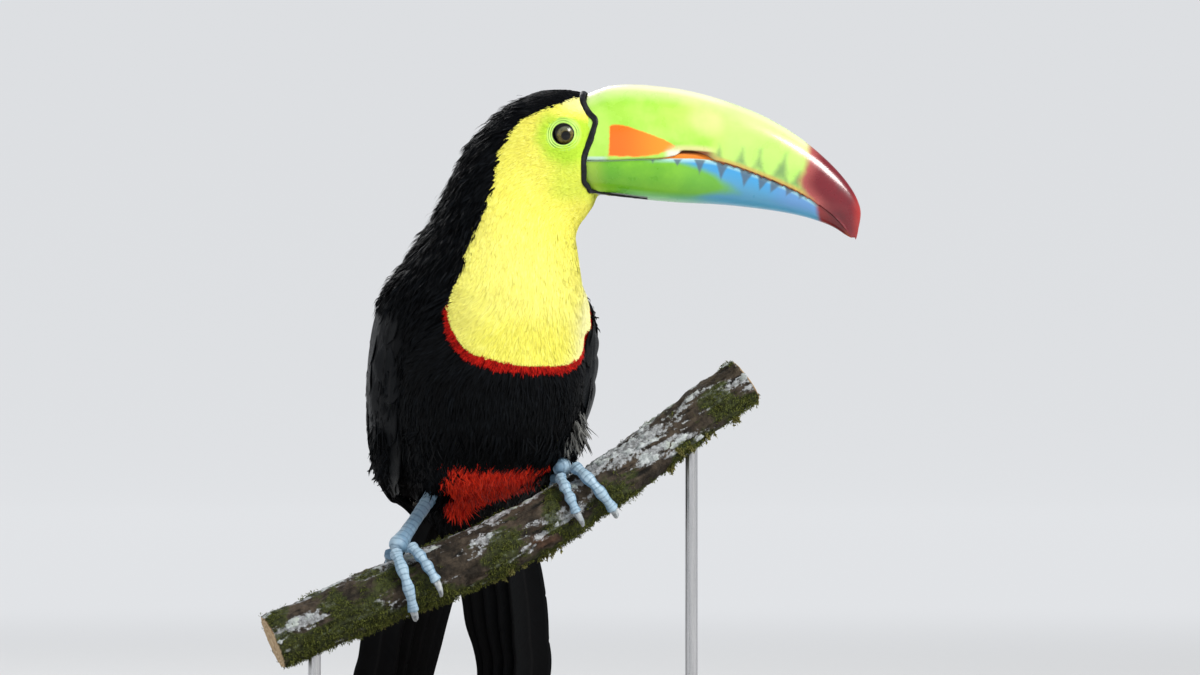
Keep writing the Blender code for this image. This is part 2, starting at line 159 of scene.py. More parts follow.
def point_normals(points, faces):
    normals = face_normals(points, faces)
    found = np.zeros_like(points)
    for axis in range(3):
        for corner in range(3):
            found[:, axis] += np.bincount(faces[:, corner], normals[:, axis], len(points))
    return unit(found)


def evened(points, faces, rounds):
    """The surface without its facets. Each round shrinks it and swells it back, so its size stays."""
    ends = np.concatenate([faces[:, [0, 1]], faces[:, [1, 2]], faces[:, [2, 0]]])
    ends = np.unique(np.sort(ends, axis=1), axis=0)
    one, two = np.concatenate([ends, ends[:, ::-1]]).T
    count = np.bincount(one, minlength=len(points))[:, None]
    points = points.copy()
    for _ in range(rounds):
        for share in (0.5, -0.51):
            near = np.stack([np.bincount(one, points[two, i], len(points)) for i in range(3)], axis=1)
            points += share * (near / count - points)
    return points


def gathered(parts):
    """The points and faces of several meshes as those of one."""
    starts = np.cumsum([0, *(len(points) for points, _ in parts)])
    faces = [own + start for (_, own), start in zip(parts, starts)]
    return np.concatenate([points for points, _ in parts]), np.concatenate(faces)


def linked(name, data):
    obj = bpy.data.objects.new(name, data)
    bpy.context.scene.collection.objects.link(obj)
    return obj


def remeshed(parts, voxel, swell=0.0, rounds=0):
    """One closed surface round several solids, swollen so that they run together: points and triangles."""
    points, faces = gathered([(p + swell * point_normals(p, f), f) for p, f in parts])
    mesh = bpy.data.meshes.new("rough")
    mesh.from_pydata(points * MM, [], faces.tolist())
    rough = linked("rough", mesh)
    modifier = rough.modifiers.new("even", "REMESH")
    modifier.mode = "VOXEL"
    modifier.voxel_size = voxel * MM
    points, faces = read_mesh(rough.evaluated_get(bpy.context.evaluated_depsgraph_get()).to_mesh())
    bpy.data.objects.remove(rough)
    bpy.data.meshes.remove(mesh)
    return evened(points, faces, rounds), faces


def wrapped(rings, looped=False):
    """Rings of points as one closed surface: its ends filled, or its last ring joined to its first."""
    rows, around = rings.shape[:2]
    points = rings.reshape(-1, 3)
    r, c = np.meshgrid(np.arange(rows if looped else rows - 1), np.arange(around), indexing="ij")
    n, below = (c + 1) % around, (r + 1) % rows
    one, two, three, four = r * around + c, r * around + n, below * around + n, below * around + c
    faces = np.stack([one, two, three, one, three, four], axis=-1).reshape(-1, 3)
    if not looped:
        k = np.arange(around)
        n = (k + 1) % around
        last = (rows - 1) * around
        first_cap = np.stack([n, k, np.full(around, len(points))], axis=1)
        last_cap = np.stack([last + k, last + n, np.full(around, len(points) + 1)], axis=1)
        faces = np.concatenate([faces, first_cap, last_cap])
        points = np.concatenate([points, rings[[0, -1]].mean(axis=1)])
    a, b, c = ((points - points.mean(axis=0))[faces[:, i]] for i in range(3))
    return points, faces if np.einsum("ij,ij->", a, np.cross(b, c)) > 0 else faces[:, ::-1]


LEAF_POINTS = 7  # three pairs from the root up, and the tip


def leaf_faces(count):
    """The faces of thin leaves, one leaf's points after the other's."""
    leaf = np.array([(0, 1, 3), (0, 3, 2), (2, 3, 5), (2, 5, 4), (4, 5, 6)])
    return (np.arange(count)[:, None, None] * LEAF_POINTS + leaf[None]).reshape(-1, 3)


def columns(shape, *values):
    """Values stretched to one shape, side by side."""
    return np.stack([np.broadcast_to(value, shape) for value in values], axis=-1)


def tree_of(points, faces):
    return BVHTree.FromPolygons(points.tolist(), faces.tolist())


def hit(tree, start, way, far=400.0):
    """Where a ray from start first meets the surface, or None."""
    return tree.ray_cast(Vector(start), Vector(way), far)[0]


def add_piece(name, points, faces, material, slot, replaces=(), values=None, patches=None):
    """A mesh object on the root body. values are named numbers or vectors at its points, and patches are the
    points' places on OFBake."""
    mesh = bpy.data.meshes.new(name)
    mesh.vertices.add(len(points))
    mesh.vertices.foreach_set("co", np.asarray(points * MM, np.float32).ravel())
    mesh.loops.add(len(faces) * 3)
    mesh.loops.foreach_set("vertex_index", np.asarray(faces, np.int32).ravel())
    mesh.polygons.add(len(faces))
    mesh.polygons.foreach_set("loop_start", np.arange(0, len(faces) * 3, 3, dtype=np.int32))
    mesh.update(calc_edges=True)
    mesh.shade_smooth()
    for label, data in (values or {}).items():
        data = np.asarray(data, np.float32)
        kind, field = ("FLOAT", "value") if data.ndim == 1 else ("FLOAT_VECTOR", "vector")
        mesh.attributes.new(label, kind, "POINT").data.foreach_set(field, data.ravel())
    if patches is not None:
        layer = mesh.uv_layers.new(name="OFBake")
        layer.data.foreach_set("uv", np.asarray(patches, np.float32)[faces.ravel()].ravel())
    mesh.materials.append(material)
    obj = linked(name, mesh)
    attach(obj, "root")
    if replaces:
        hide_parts(*replaces)


class Value:
    """A node's output, a number or a vector. Sums and products with it add nodes of their own."""

    def __init__(self, paint, socket):
        self.paint, self.socket = paint, socket

    def __add__(self, other):
        return self.paint.math("ADD", self, other)

    def __sub__(self, other):
        return self.paint.math("SUBTRACT", self, other)

    def __mul__(self, other):
        return self.paint.math("MULTIPLY", self, other)

    def __truediv__(self, other):
        return self.paint.math("DIVIDE", self, other)

    def __pow__(self, other):
        return self.paint.math("POWER", self, other)


class Paint:
    """A material under construction. Most methods add a node and give back its output as a Value."""

    def __init__(self, name):
        self.material = bpy.data.materials.new(name)
        self.material.use_nodes = True
        self.tree = self.material.node_tree
        self.shader = self.tree.nodes["Principled BSDF"]

    def node(self, kind, *inputs, output=0, **settings):
        """A node with its inputs in order. None leaves an input as it is."""
        made = self.tree.nodes.new(kind)
        for label, value in settings.items():
            setattr(made, label, value)
        for socket, value in zip(made.inputs, inputs):
            if value is not None:
                self.set(socket, value)
        return Value(self, made.outputs[output])

    def set(self, socket, value):
        if isinstance(value, Value):
            self.tree.links.new(value.socket, socket)
        elif isinstance(value, tuple) and len(value) == 3 and socket.type == "RGBA":
            socket.default_value = (*value, 1.0)
        else:
            socket.default_value = value

    def attribute(self, name, output="Fac"):
        return self.node("ShaderNodeAttribute", output=output, attribute_name=name)

    def parts(self, name):
        """The three numbers of a vector attribute."""
        split = self.node("ShaderNodeSeparateXYZ", self.attribute(name, "Vector")).socket.node
        return [Value(self, output) for output in split.outputs]

    def place(self):
        return self.node("ShaderNodeTexCoord", output="Object")

    def noise(self, per_metre, detail=3.0, roughness=0.6, place=None, stretch=None):
        place = place or self.place()
        if stretch:
            place = self.node("ShaderNodeVectorMath", place, stretch, operation="MULTIPLY")
        return self.node("ShaderNodeTexNoise", place, None, per_metre, detail, roughness)

    def math(self, operation, one, two=0.0):
        return self.node("ShaderNodeMath", one, two, 0.0, operation=operation)

    def span(self, value, low, high, to_low=0.0, to_high=1.0):
        """A soft step from to_low, where the value is low, to to_high, where it is high."""
        return self.node("ShaderNodeMapRange", value, low, high, to_low, to_high,
                         interpolation_type="SMOOTHSTEP")

    def layers(self, colour, *coats):
        """A colour under coats. A coat is its colour and its shares, which are multiplied. A tuple in them
        is a value's span."""
        for coat, *shares in coats:
            whole = None
            for share in shares:
                share = self.span(*share) if isinstance(share, tuple) else share
                whole = whole * share if whole else share
            made = self.tree.nodes.new("ShaderNodeMix")
            made.data_type = "RGBA"
            for place, value in ((0, whole), (6, colour), (7, coat)):
                self.set(made.inputs[place], value)
            colour = Value(self, made.outputs[2])
        return colour

    def bump(self, height, distance, strength=1.0):
        made = self.node("ShaderNodeBump").socket.node
        for label, value in (("Height", height), ("Distance", distance * MM), ("Strength", strength)):
            self.set(made.inputs[label], value)
        self.set(self.shader.inputs["Normal"], Value(self, made.outputs[0]))

    def finish(self, colour, roughness, **sockets):
        """The material with its colour and roughness, and other sockets of its shader by name."""
        for label, value in {"Base Color": colour, "Roughness": roughness, **sockets}.items():
            self.set(self.shader.inputs[label.replace("_", " ")], value)
        return self.material


# ---------------------------------------------------------------- stage

CAMERA_PLACE = (0.048, -3.615, 0.242)
LENS = 225.0
FLOOR_FLAT, FLOOR_EDGE, FLOOR_RISE = 7.0, 12.0, 5.0
FLOOR_FADE, FLOOR_GLOW = (0.9, 3.2), 0.74  # where the floor gives way to the backdrop's even glow, in metres
SKY, SKY_STRENGTH = (0.93, 0.95, 1.0, 1.0), 0.36
BIRD = (0.02, -0.03, 0.25)
LIGHTS = (  # name, place, size, power, colour
    ("key", (1.7, -1.5, 2.0), (1.0, 1.0), 92.0, (1.0, 0.985, 0.95)),
    ("fill", (-2.2, -2.2, 0.8), (1.6, 1.6), 14.0, (0.94, 0.97, 1.0)),
    ("back", (-0.7, 1.9, 1.7), (1.2, 0.8), 26.0, (1.0, 1.0, 1.0)),
)


def make_camera():
    data = bpy.data.cameras.new("camera")
    data.lens = LENS
    data.sensor_width = 36.0
    data.clip_start, data.clip_end = 0.1, 100.0
    camera = linked("camera", data)
    camera.location = CAMERA_PLACE
    camera.rotation_euler = (math.pi / 2, 0.0, 0.0)
    bpy.context.scene.camera = camera


def make_floor():
    """A wide flat floor whose far edge rises all round, so that it is also the backdrop."""
    radii = np.concatenate([np.linspace(0.2, FLOOR_FLAT, 12), np.linspace(FLOOR_FLAT, FLOOR_EDGE, 25)[1:]])
    share = np.clip((radii - FLOOR_FLAT) / (FLOOR_EDGE - FLOOR_FLAT), 0, 1)
    heights = FLOOR_RISE * (1 - np.sqrt(1 - share**2))
    turns = full_turn(96)
    rings = [(r * math.cos(a), r * math.sin(a), h) for r, h in zip(radii, heights) for a in turns]
    beside = [(k, (k + 1) % len(turns)) for k in range(len(turns))]
    faces = [(0, 1 + k, 1 + n) for k, n in beside]
    for r in range(1, 1 + len(turns) * (len(radii) - 1), len(turns)):
        faces += [(r + k, r + len(turns) + k, r + len(turns) + n, r + n) for k, n in beside]
    mesh = bpy.data.meshes.new("floor")
    mesh.from_pydata([(0.0, 0.0, 0.0), *rings], [], faces)
    mesh.shade_smooth()
    floor = linked("floor", mesh)
    paint = Paint("floor")
    away = paint.node("ShaderNodeVectorMath", paint.place(), output="Value", operation="LENGTH")
    far = paint.span(away, *FLOOR_FADE)
    colour = paint.layers((0.60, 0.61, 0.61), ((0.64, 0.64, 0.64), paint.noise(60.0, 4.0)),
                          ((0.02, 0.02, 0.02), far))
    mesh.materials.append(paint.finish(colour, 0.8, Emission_Strength=far * FLOOR_GLOW,
                                       Emission_Color=(0.95, 0.97, 1.0), Specular_IOR_Level=0.2))


def make_stage():
    make_camera()
    make_floor()
    world = bpy.data.worlds.new("studio")
    bpy.context.scene.world = world
    world.use_nodes = True
    inputs = world.node_tree.nodes["Background"].inputs
    inputs["Color"].default_value, inputs["Strength"].default_value = SKY, SKY_STRENGTH
    for name, place, size, power, colour in LIGHTS:
        data = bpy.data.lights.new(name, "AREA")
        data.shape = "RECTANGLE"
        data.size, data.size_y = size
        data.energy = power
        data.color = colour
        light = linked(name, data)
        light.location = place
        light.rotation_euler = (Vector(BIRD) - Vector(place)).to_track_quat("-Z", "Y").to_euler()
        light.visible_camera = False
    bpy.context.scene.view_settings.view_transform = "Standard"


# ---------------------------------------------------------------- the body's own coordinates


def flat_ends(name):
    """The two largest flat ends of a lofted solid: centre, outward normal."""
    points, faces = solid(name)
    normals = face_normals(points, faces)
    areas = np.linalg.norm(normals, axis=1)
    normals = unit(normals)
    offsets = dot(normals, points[faces[:, 0]])
    keys = np.round(np.concatenate([normals * 50, offsets[:, None]], axis=1)).astype(int)
    group = np.unique(keys, axis=0, return_inverse=True)[1].reshape(-1)
    ends = []
    for best in np.argsort(np.bincount(group, areas))[-2:]:
        own = group == best
        ends.append((points[np.unique(faces[own])].mean(axis=0), unit(normals[own].mean(axis=0))))
    return ends


class Body:
    """The planes that part head, neck, trunk and tail coverts, and the coordinates that they give."""

    def __init__(self):
        chain = ("head", "neck", "trunk", "tail_coverts")
        ends = {name: flat_ends(name) for name in chain}
        cuts = []
        for before, after in zip(chain, chain[1:]):
            pairs = [(np.linalg.norm(a[0] - b[0]), b) for a in ends[before] for b in ends[after]]
            centre, normal = min(pairs, key=lambda pair: pair[0])[1]
            cuts.append((centre, -normal))
        first = max(ends["head"], key=lambda end: np.linalg.norm(end[0] - cuts[0][0]))
        last = max(ends["tail_coverts"], key=lambda end: np.linalg.norm(end[0] - cuts[-1][0]))
        cuts = [(first[0], -first[1]), *cuts, last]
        self.centres, self.normals = (np.array(column) for column in zip(*cuts))
        self.knots = np.arange(len(cuts))
        self.left = unit(middle("wing_left") - middle("wing_right"))
        self.head_left = unit((middle("eye_left") - middle("eye_right")) * (1, 1, 0))
        sides = unit(np.cross(UP, self.normals))
        self.sides = sides * np.sign(sides @ (self.left + self.head_left))[:, None]
        self.head_ahead = np.cross(self.head_left, UP)
        self.face = self.centres[0]

    def place(self, points):
        """How far along the body each point is: 0 at the bill's base, 1, 2, 3 at the cuts, 4 at the tip."""
        past = np.einsum("pcj,cj->pc", points[:, None, :] - self.centres[None], self.normals)
        found = np.full(len(points), np.nan)
        last = self.knots[-1]
        for i in range(last):
            here = (past[:, i] >= 0) & (past[:, i + 1] <= 0) if i else past[:, 1] <= 0
            span = np.maximum(past[:, i] - past[:, i + 1], 1e-6)
            fits = here & np.isnan(found)
            found[fits] = (i + past[:, i] / span)[fits]
        length = np.linalg.norm(self.centres[last] - self.centres[last - 1])
        rest = np.isnan(found)
        found[rest] = last + past[rest, last] / length
        return found

    def frame_at(self, place):
        """Centre, leftward and frontward directions at places along the body."""
        side, way = (unit(smooth(place, self.knots, values)) for values in (self.sides, self.normals))
        return smooth(place, self.knots, self.centres), side, unit(np.cross(way, side))

    def turn(self, points, place):
        """The turn round the body in degrees, 0 in front and positive to the bird's left."""
        centre, side, front = self.frame_at(place)
        out = points - centre
        return np.degrees(np.arctan2(dot(out, side), dot(out, front)))

    def head_place(self, points):
        """How far points on head and bill are ahead of the bill's base, their height, and how far left."""
        out = points - self.face
        return out @ self.head_ahead, points[..., 2], out @ self.head_left

    def head_world(self, ahead, height, left):
        """The points at such places."""
        outer = np.multiply.outer
        flat = self.face * (1, 1, 0) + outer(ahead, self.head_ahead) + outer(left, self.head_left)
        return flat + outer(height, UP)


body = Body()

# ---------------------------------------------------------------- bill

BILL_STATIONS, BILL_AROUND = 300, 60
MOUTH_MARGIN = 0.35  # from each half's inner face to where its sections are measured from
MOUTH_SEAM = 0.12  # between the closed rims
# Where the upper half lifts clear of the lower one: distance ahead of the bill's base, then height
MOUTH_GAP = ((30.0, 0.0), (36.5, 0.0), (41.5, 0.7), (44.9, 1.6), (47.3, 3.2), (50.6, 3.4), (55.9, 2.6),
             (59.8, 1.3), (63.0, 0.0), (70.0, 0.0))
RIDGE_MIDDLE, RIDGE_END = (40.0, 285.0), 127.0  # inside the culmen's curve, and where its steep end starts
TIP_FROM = 291  # the station where each half starts to close
# The black edge of the face on the bill, from the culmen down to the jaw's corner and forward under the jaw
FACE_LINE = np.array((
    (-0.9, 358.6), (-0.4, 354.6), (1.2, 351.2), (3.3, 348.0), (6.0, 345.7), (5.5, 341.0), (4.5, 337.3),
    (2.7, 332.0), (1.4, 328.6), (0.9, 325.2), (1.1, 321.4), (0.9, 317.6), (1.3, 314.6), (2.8, 313.0),
    (5.4, 312.4), (9.8, 311.6), (17.0, 310.0), (25.2, 308.2), (30.0, 307.2),
))
JAW_CORNER = 14  # its place in that line
TOOTH_FROM, TOOTH_LENGTH, TOOTH_DEPTH = 60.0, 3.6, 0.85
ORANGE_TOP = ((12.0, 342.6), (18.0, 342.9), (25.0, 341.1), (31.0, 339.0), (37.0, 336.6), (41.0, 334.8),
              (45.5, 332.4))
ORANGE_BOTTOM = ((12.0, 328.0), (33.0, 328.0), (37.0, 328.9), (41.0, 330.4), (45.5, 332.4))
RED_FROM = ((288.0, 113.0), (300.0, 110.8), (306.0, 109.6), (311.0, 104.8), (314.0, 103.0), (323.0, 105.4),
            (333.0, 106.4))
# Depth below the mouth, then the place
BLUE_FROM = ((0.0, 41.0), (3.0, 52.0), (6.0, 62.0), (9.0, 69.0), (12.0, 72.0), (15.0, 66.0), (18.0, 56.0))
# Dark flames over the mouth: place, low and high end above it, half width, lean
FLAMES = (
    (64.6, 1.5, 8.0, 1.2, 0.10), (75.0, 1.8, 9.8, 1.6, 0.14), (83.3, 2.5, 12.0, 1.7, 0.12),
    (93.2, 1.2, 15.0, 2.7, 0.22), (100.3, 1.2, 10.5, 1.7, 0.30), (104.4, 0.8, 13.0, 1.6, 0.2),
)
# Slate marks under it: place, length, half width, lean
HANGING_MARKS = (
    (33.6, 2.4, 1.2, 0.0), (45.4, 4.0, 1.9, 0.05), (55.9, 7.6, 2.3, 0.05), (66.3, 8.8, 2.5, 0.10),
    (77.7, 8.8, 2.6, 0.18), (85.8, 7.4, 2.4, 0.30), (91.5, 6.6, 2.2, 0.42), (98.2, 5.0, 1.8, 0.45),
    (103.6, 3.4, 1.3, 0.45),
)


class BillShape:
    """Smooth sections of the bill, read from its solids by rays out of the mouth's line."""

    def __init__(self):
        parts = {half: solid("bill_" + half) for half in ("upper", "lower")}
        ahead, _, _ = body.head_place(parts["upper"][0])
        self.start, self.tip = ahead.min() + 0.05, ahead.max()
        self.turns = np.radians(np.linspace(0, 180, BILL_AROUND + 1))
        self.lines, self.rises, self.reach = {}, {}, {}
        for half, side in (("upper", 1.0), ("lower", -1.0)):
            self.read(half, side, tree_of(*parts[half]))
        self.round_ridge(parts["upper"][0])
        closing = np.linspace(0, 1, BILL_STATIONS - TIP_FROM)[:, None]
        for reach in self.reach.values():
            reach[TIP_FROM:] = reach[TIP_FROM] * np.maximum(1 - closing, 0.01) ** 0.8
        self.edges = {}
        for half in ("upper", "lower"):
            ahead, height, _ = body.head_place(self.points(half)[:, BILL_AROUND // 2])
            self.edges[half] = np.maximum.accumulate(ahead), height

    def round_ridge(self, corners):
        """The upper half's sections stretched, so that its ridge is a smooth curve through the solid's."""
        flat = np.unique(np.round(np.stack(body.head_place(corners)[:2], axis=1), 1), axis=0)
        ridge = flat[convex_hull_2d([Vector(p) for p in flat])]
        ahead, height = ridge.T
        outside = (height > np.interp(ahead, *self.lines["upper"].T) + 3) | (ahead > RIDGE_END)
        around = np.arctan2(height - RIDGE_MIDDLE[1], RIDGE_MIDDLE[0] - ahead)[outside]
        ridge = ridge[outside][np.argsort(around)]
        ridge = ridge[np.concatenate([[True], np.linalg.norm(np.diff(ridge, axis=0), axis=1) > 1.0])]
        run = run_along(ridge)
        out = smooth(np.linspace(0, run[-1], 900), run, ridge)[None] - self.lines["upper"][:, None]
        rise = self.rises["upper"][:, None]
        off = np.abs(out[..., 0] * rise[..., 1] - out[..., 1] * rise[..., 0])
        high = (out * rise).sum(axis=2)
        nearest = np.where(high > -0.5, off, 99.0).argmin(axis=1)
        wanted = blurred(high[np.arange(BILL_STATIONS), nearest], 2.0)
        reach = self.reach["upper"]
        scale = np.clip(wanted / reach[:, BILL_AROUND // 2], 0.8, 2.2)[:, None] - 1
        scale[-8:] = scale[-9]
        self.reach["upper"] = np.maximum(reach * (1 + scale * np.sin(self.turns)[None] ** 1.5), 0.25)

    def read(self, half, side, tree):
        """The line of a half's flat inner face in the head's plane, how its sections rise from it, and how
        far they reach to the solid's surface at each turn, with the facets smoothed out."""
        line = []
        for ahead in np.linspace(self.start, self.tip - 2.0, 500):
            found = hit(tree, body.head_world(ahead, 300.0 - side * 100.0, 0.0), side * UP)
            if found:
                line.append((ahead, found.z))
        line = np.array(line)
        line = line[: np.argmin(line[:, 1]) + 1]
        line[:, 1] = blurred(line[:, 1], 12)
        run = run_along(line)
        stops = np.linspace(0, run[-1], BILL_STATIONS)
        line = np.stack([np.interp(stops, run, line[:, i]) for i in range(2)], axis=1)
        level = 1 - ease(0, 30, stops)[:, None]
        way = unit(blurred(np.gradient(line, axis=0), 8))
        way = unit(way * (1 - level) + np.array((1.0, 0.0)) * level)
        rises = np.stack([-way[:, 1], way[:, 0]], axis=1)
        reach = np.full((BILL_STATIONS, BILL_AROUND + 1), np.nan)
        for i, (place, rise) in enumerate(zip(line, rises)):
            start = body.head_world(*(place + side * MOUTH_MARGIN * rise), 0.0)
            up = rise[0] * body.head_ahead + rise[1] * UP
            for k, a in enumerate(self.turns):
                found = hit(tree, start, math.cos(a) * body.head_left + side * math.sin(a) * up)
                if found:
                    reach[i, k] = (found - Vector(start)).length
        clear = stops > (11.0 if half == "lower" else 0.5)  # the throat trims the lower half's root
        for k in range(reach.shape[1]):
            known = np.flatnonzero(clear & ~np.isnan(reach[:, k]))
            reach[:, k] = np.interp(np.arange(BILL_STATIONS), known, reach[known, k])
        reach = blurred(blurred((reach + reach[:, ::-1]) / 2, 7), 2.6, axis=1)
        self.lines[half], self.rises[half], self.reach[half] = line, rises, np.maximum(reach, 0.25)

    def points(self, half):
        """The half's surface as stations by turns."""
        side = 1.0 if half == "upper" else -1.0
        reach, start, rise = self.reach[half], self.lines[half], self.rises[half]
        up = side * reach * np.sin(self.turns)
        return body.head_world(start[:, :1] + up * rise[:, :1], start[:, 1:] + up * rise[:, 1:],
                               reach * np.cos(self.turns))

    def mouth(self, ahead):
        return np.interp(ahead, *self.lines["lower"].T)

    def edge(self, half, ahead):
        """The height of the culmen or of the lower half's keel."""
        return np.interp(ahead, *self.edges[half])

    def half_mesh(self, half):
        """One half as a closed mesh: its outer face from rim to rim, and its inner face."""
        grid = self.points(half)
        side = 1.0
        if half == "upper":
            ahead = body.head_place(grid)[0]
            rim = np.abs(np.cos(self.turns)) ** 8  # 1 at the rims and 0 away from them
            line = self.lines["upper"]
            closing = self.mouth(line[:, 0]) + MOUTH_SEAM - line[:, 1]
            lift = (smooth(ahead, *zip(*MOUTH_GAP)) + closing[:, None] - teeth(ahead)) * rim
            near_top = np.exp(-(((np.degrees(self.turns) - 90) / 9) ** 2))
            grid += 0.35 * near_top[None, :, None] * UP * (1 - ease(100, 118, ahead))[..., None]
            grid = grid + lift[..., None] * UP
        else:
            side = -1.0
        inner = grid[:, [-1, 0]]
        across = np.linspace(0, 1, 9)[1:-1]
        sunk = np.minimum(1.6, 0.35 * self.reach[half][:, :1]) * np.sin(math.pi * across)[None] ** 0.5
        roof = inner[:, :1] + (inner[:, 1:] - inner[:, :1]) * across[None, :, None]
        roof += side * sunk[..., None] * UP
        return wrapped(np.concatenate([grid, roof], axis=1))


def teeth(ahead):
    """The saw edge of the upper half's rim: how far each point of it hangs down."""
    phase = ahead / TOOTH_LENGTH + 0.35 * np.sin(ahead * 0.31)
    saw = (phase % 1.0) ** 1.6
    return TOOTH_DEPTH * saw * ease(TOOTH_FROM, TOOTH_FROM + 8, ahead) * (1 - ease(108, 118, ahead))


def bill_values(shape, points):
    """How far, in millimetres, each point lies inside each marking."""
    ahead, height, _ = body.head_place(points)
    over, top, keel = height - shape.mouth(ahead), shape.edge("upper", ahead), shape.edge("lower", ahead)

    def spike(share, centre, wide, end):
        """Inside a mark that narrows as its share of the length runs from 0 to 1, and stops at its end."""
        return np.minimum(wide * share - np.abs(ahead - centre), end)

    flames, marks = [np.full(len(points), -9.0)], [np.full(len(points), -9.0)]
    for place, low, high, wide, lean in FLAMES:
        share = (over - low) / (high - low)
        flames.append(spike(1.05 - np.clip(share, 0, 1) ** 0.8, place + lean * (over - low), 1.5 * wide,
                            np.minimum(share, 1 - share) * 6))
    for place, long, wide, lean in HANGING_MARKS:
        share = -over / long
        marks.append(spike(1.02 - np.clip(share, 0, 1) ** 0.9, place + lean * over, 1.3 * wide,
                           (1 - share) * long))
    return {
        "over": over, "ahead": ahead, "below_top": top - height, "above_keel": height - keel,
        "orange": np.minimum.reduce([
            ahead - 12.4 - 0.6 * np.sin((height - 328) / 5), smooth(ahead, *zip(*ORANGE_TOP)) - height,
            height - smooth(ahead, *zip(*ORANGE_BOTTOM)), 45.5 - ahead]),
        "red": ahead - smooth(height, *zip(*RED_FROM)),
        "blue": ahead - smooth(-over, *zip(*BLUE_FROM)),
        "flames": np.maximum.reduce(flames),
        "mark": np.maximum.reduce(marks),
        "face_black": np.minimum(keel + 1.2 - height, 30.0 - ahead),
    }


def bill_paint(half):
    """A half's material, its places, and noises: mottling, fine streaks and the markings' ragged edges."""
    paint = Paint("bill_" + half)
    mottle, fine = paint.noise(55.0, 4.0), paint.noise(420.0, 4.0, stretch=(0.35, 1.0, 1.0))
    paint.bump(fine * 0.6 + mottle, 0.25, 0.35)
    places = (paint.attribute(name) for name in ("over", "ahead", "red"))
    return paint, *places, mottle, fine, (paint.noise(260.0, 3.0) - 0.5) * 2.0


def bill_finish(paint, colour, roughness):
    return paint.finish(colour, paint.span(*roughness), Coat_Weight=0.35, Coat_Roughness=0.12,
                        Specular_IOR_Level=0.5)


def upper_bill_material():
    paint, over, ahead, red, mottle, fine, ragged = bill_paint("upper")
    below_top, patchy = paint.attribute("below_top"), paint.noise(24.0, 2.0)
    yellowish = ((ahead - 59.0) / 8.0) ** 2.0 + ((below_top - 12.0) / 6.0) ** 2.0 + (patchy - 0.5) * 3.0
    near_gap = paint.span(ahead, 39.0, 46.0) * paint.span(ahead, 66.0, 58.0)
    orange = paint.layers((0.93, 0.15, 0.002), ((0.98, 0.29, 0.010), (ahead, 16.0, 42.0)))
    maroon = paint.layers(
        (0.46, 0.10, 0.09),
        ((0.15, 0.003, 0.010), (red, -2.0, 9.0)),
        ((0.045, 0.002, 0.006), (mottle, 0.42, 0.62), 0.6),
        ((0.34, 0.014, 0.010), (ahead, 126.0, 131.5)),
    )
    colour = paint.layers(
        (0.31, 0.66, 0.04),
        ((0.48, 0.79, 0.12), (mottle, 0.32, 0.68)),
        ((0.58, 0.80, 0.14), (patchy, 0.45, 0.7), 0.45),
        # painted highlight: whitish along the culmen's ridge, over a paler band that is partly the bill's
        # own colour and partly painted light
        ((0.74, 0.86, 0.40), (below_top, 9.0, 1.0), 0.75),
        ((0.90, 0.86, 0.62), (below_top, 3.2, 0.6), 0.8),
        ((0.50, 0.80, 0.22), (ahead, 60.0, 72.0), 0.45),
        ((0.80, 0.86, 0.36), (yellowish, 2.2, 0.0), 0.45),
        (orange, (paint.attribute("orange") + ragged, -0.35, 0.75)),
        ((0.12, 0.24, 0.09), (paint.attribute("flames") + ragged * 1.3, -1.7, 2.3), 0.78),
        ((0.62, 0.34, 0.07), (over, 3.2, 0.9), (ahead, 57.0, 64.0), 0.75),  # the lip
        ((0.24, 0.07, 0.012), (over, 0.95, 0.25), (ahead, 30.0, 60.0)),
        ((0.74, 0.66, 0.30), near_gap, (over, 7.2, 4.8), 0.8),
        ((0.84, 0.80, 0.66), (ahead, 38.0, 42.5), (ahead, 48.5, 45.5), (over, 5.2, 2.6)),
        ((0.20, 0.055, 0.01), near_gap, (over, 4.4, 3.3), (ahead, 45.6, 47.6)),
        ((0.50, 0.70, 0.66), (over, 2.4, 1.2), (ahead, 14.0, 9.0), 0.8),
        (maroon, (red + ragged, -2.6, 2.6)),
        ((0.02, 0.02, 0.01), (fine, 0.62, 0.8), 0.06),
    )
    return bill_finish(paint, colour, (mottle, 0.2, 0.8, 0.24, 0.36))


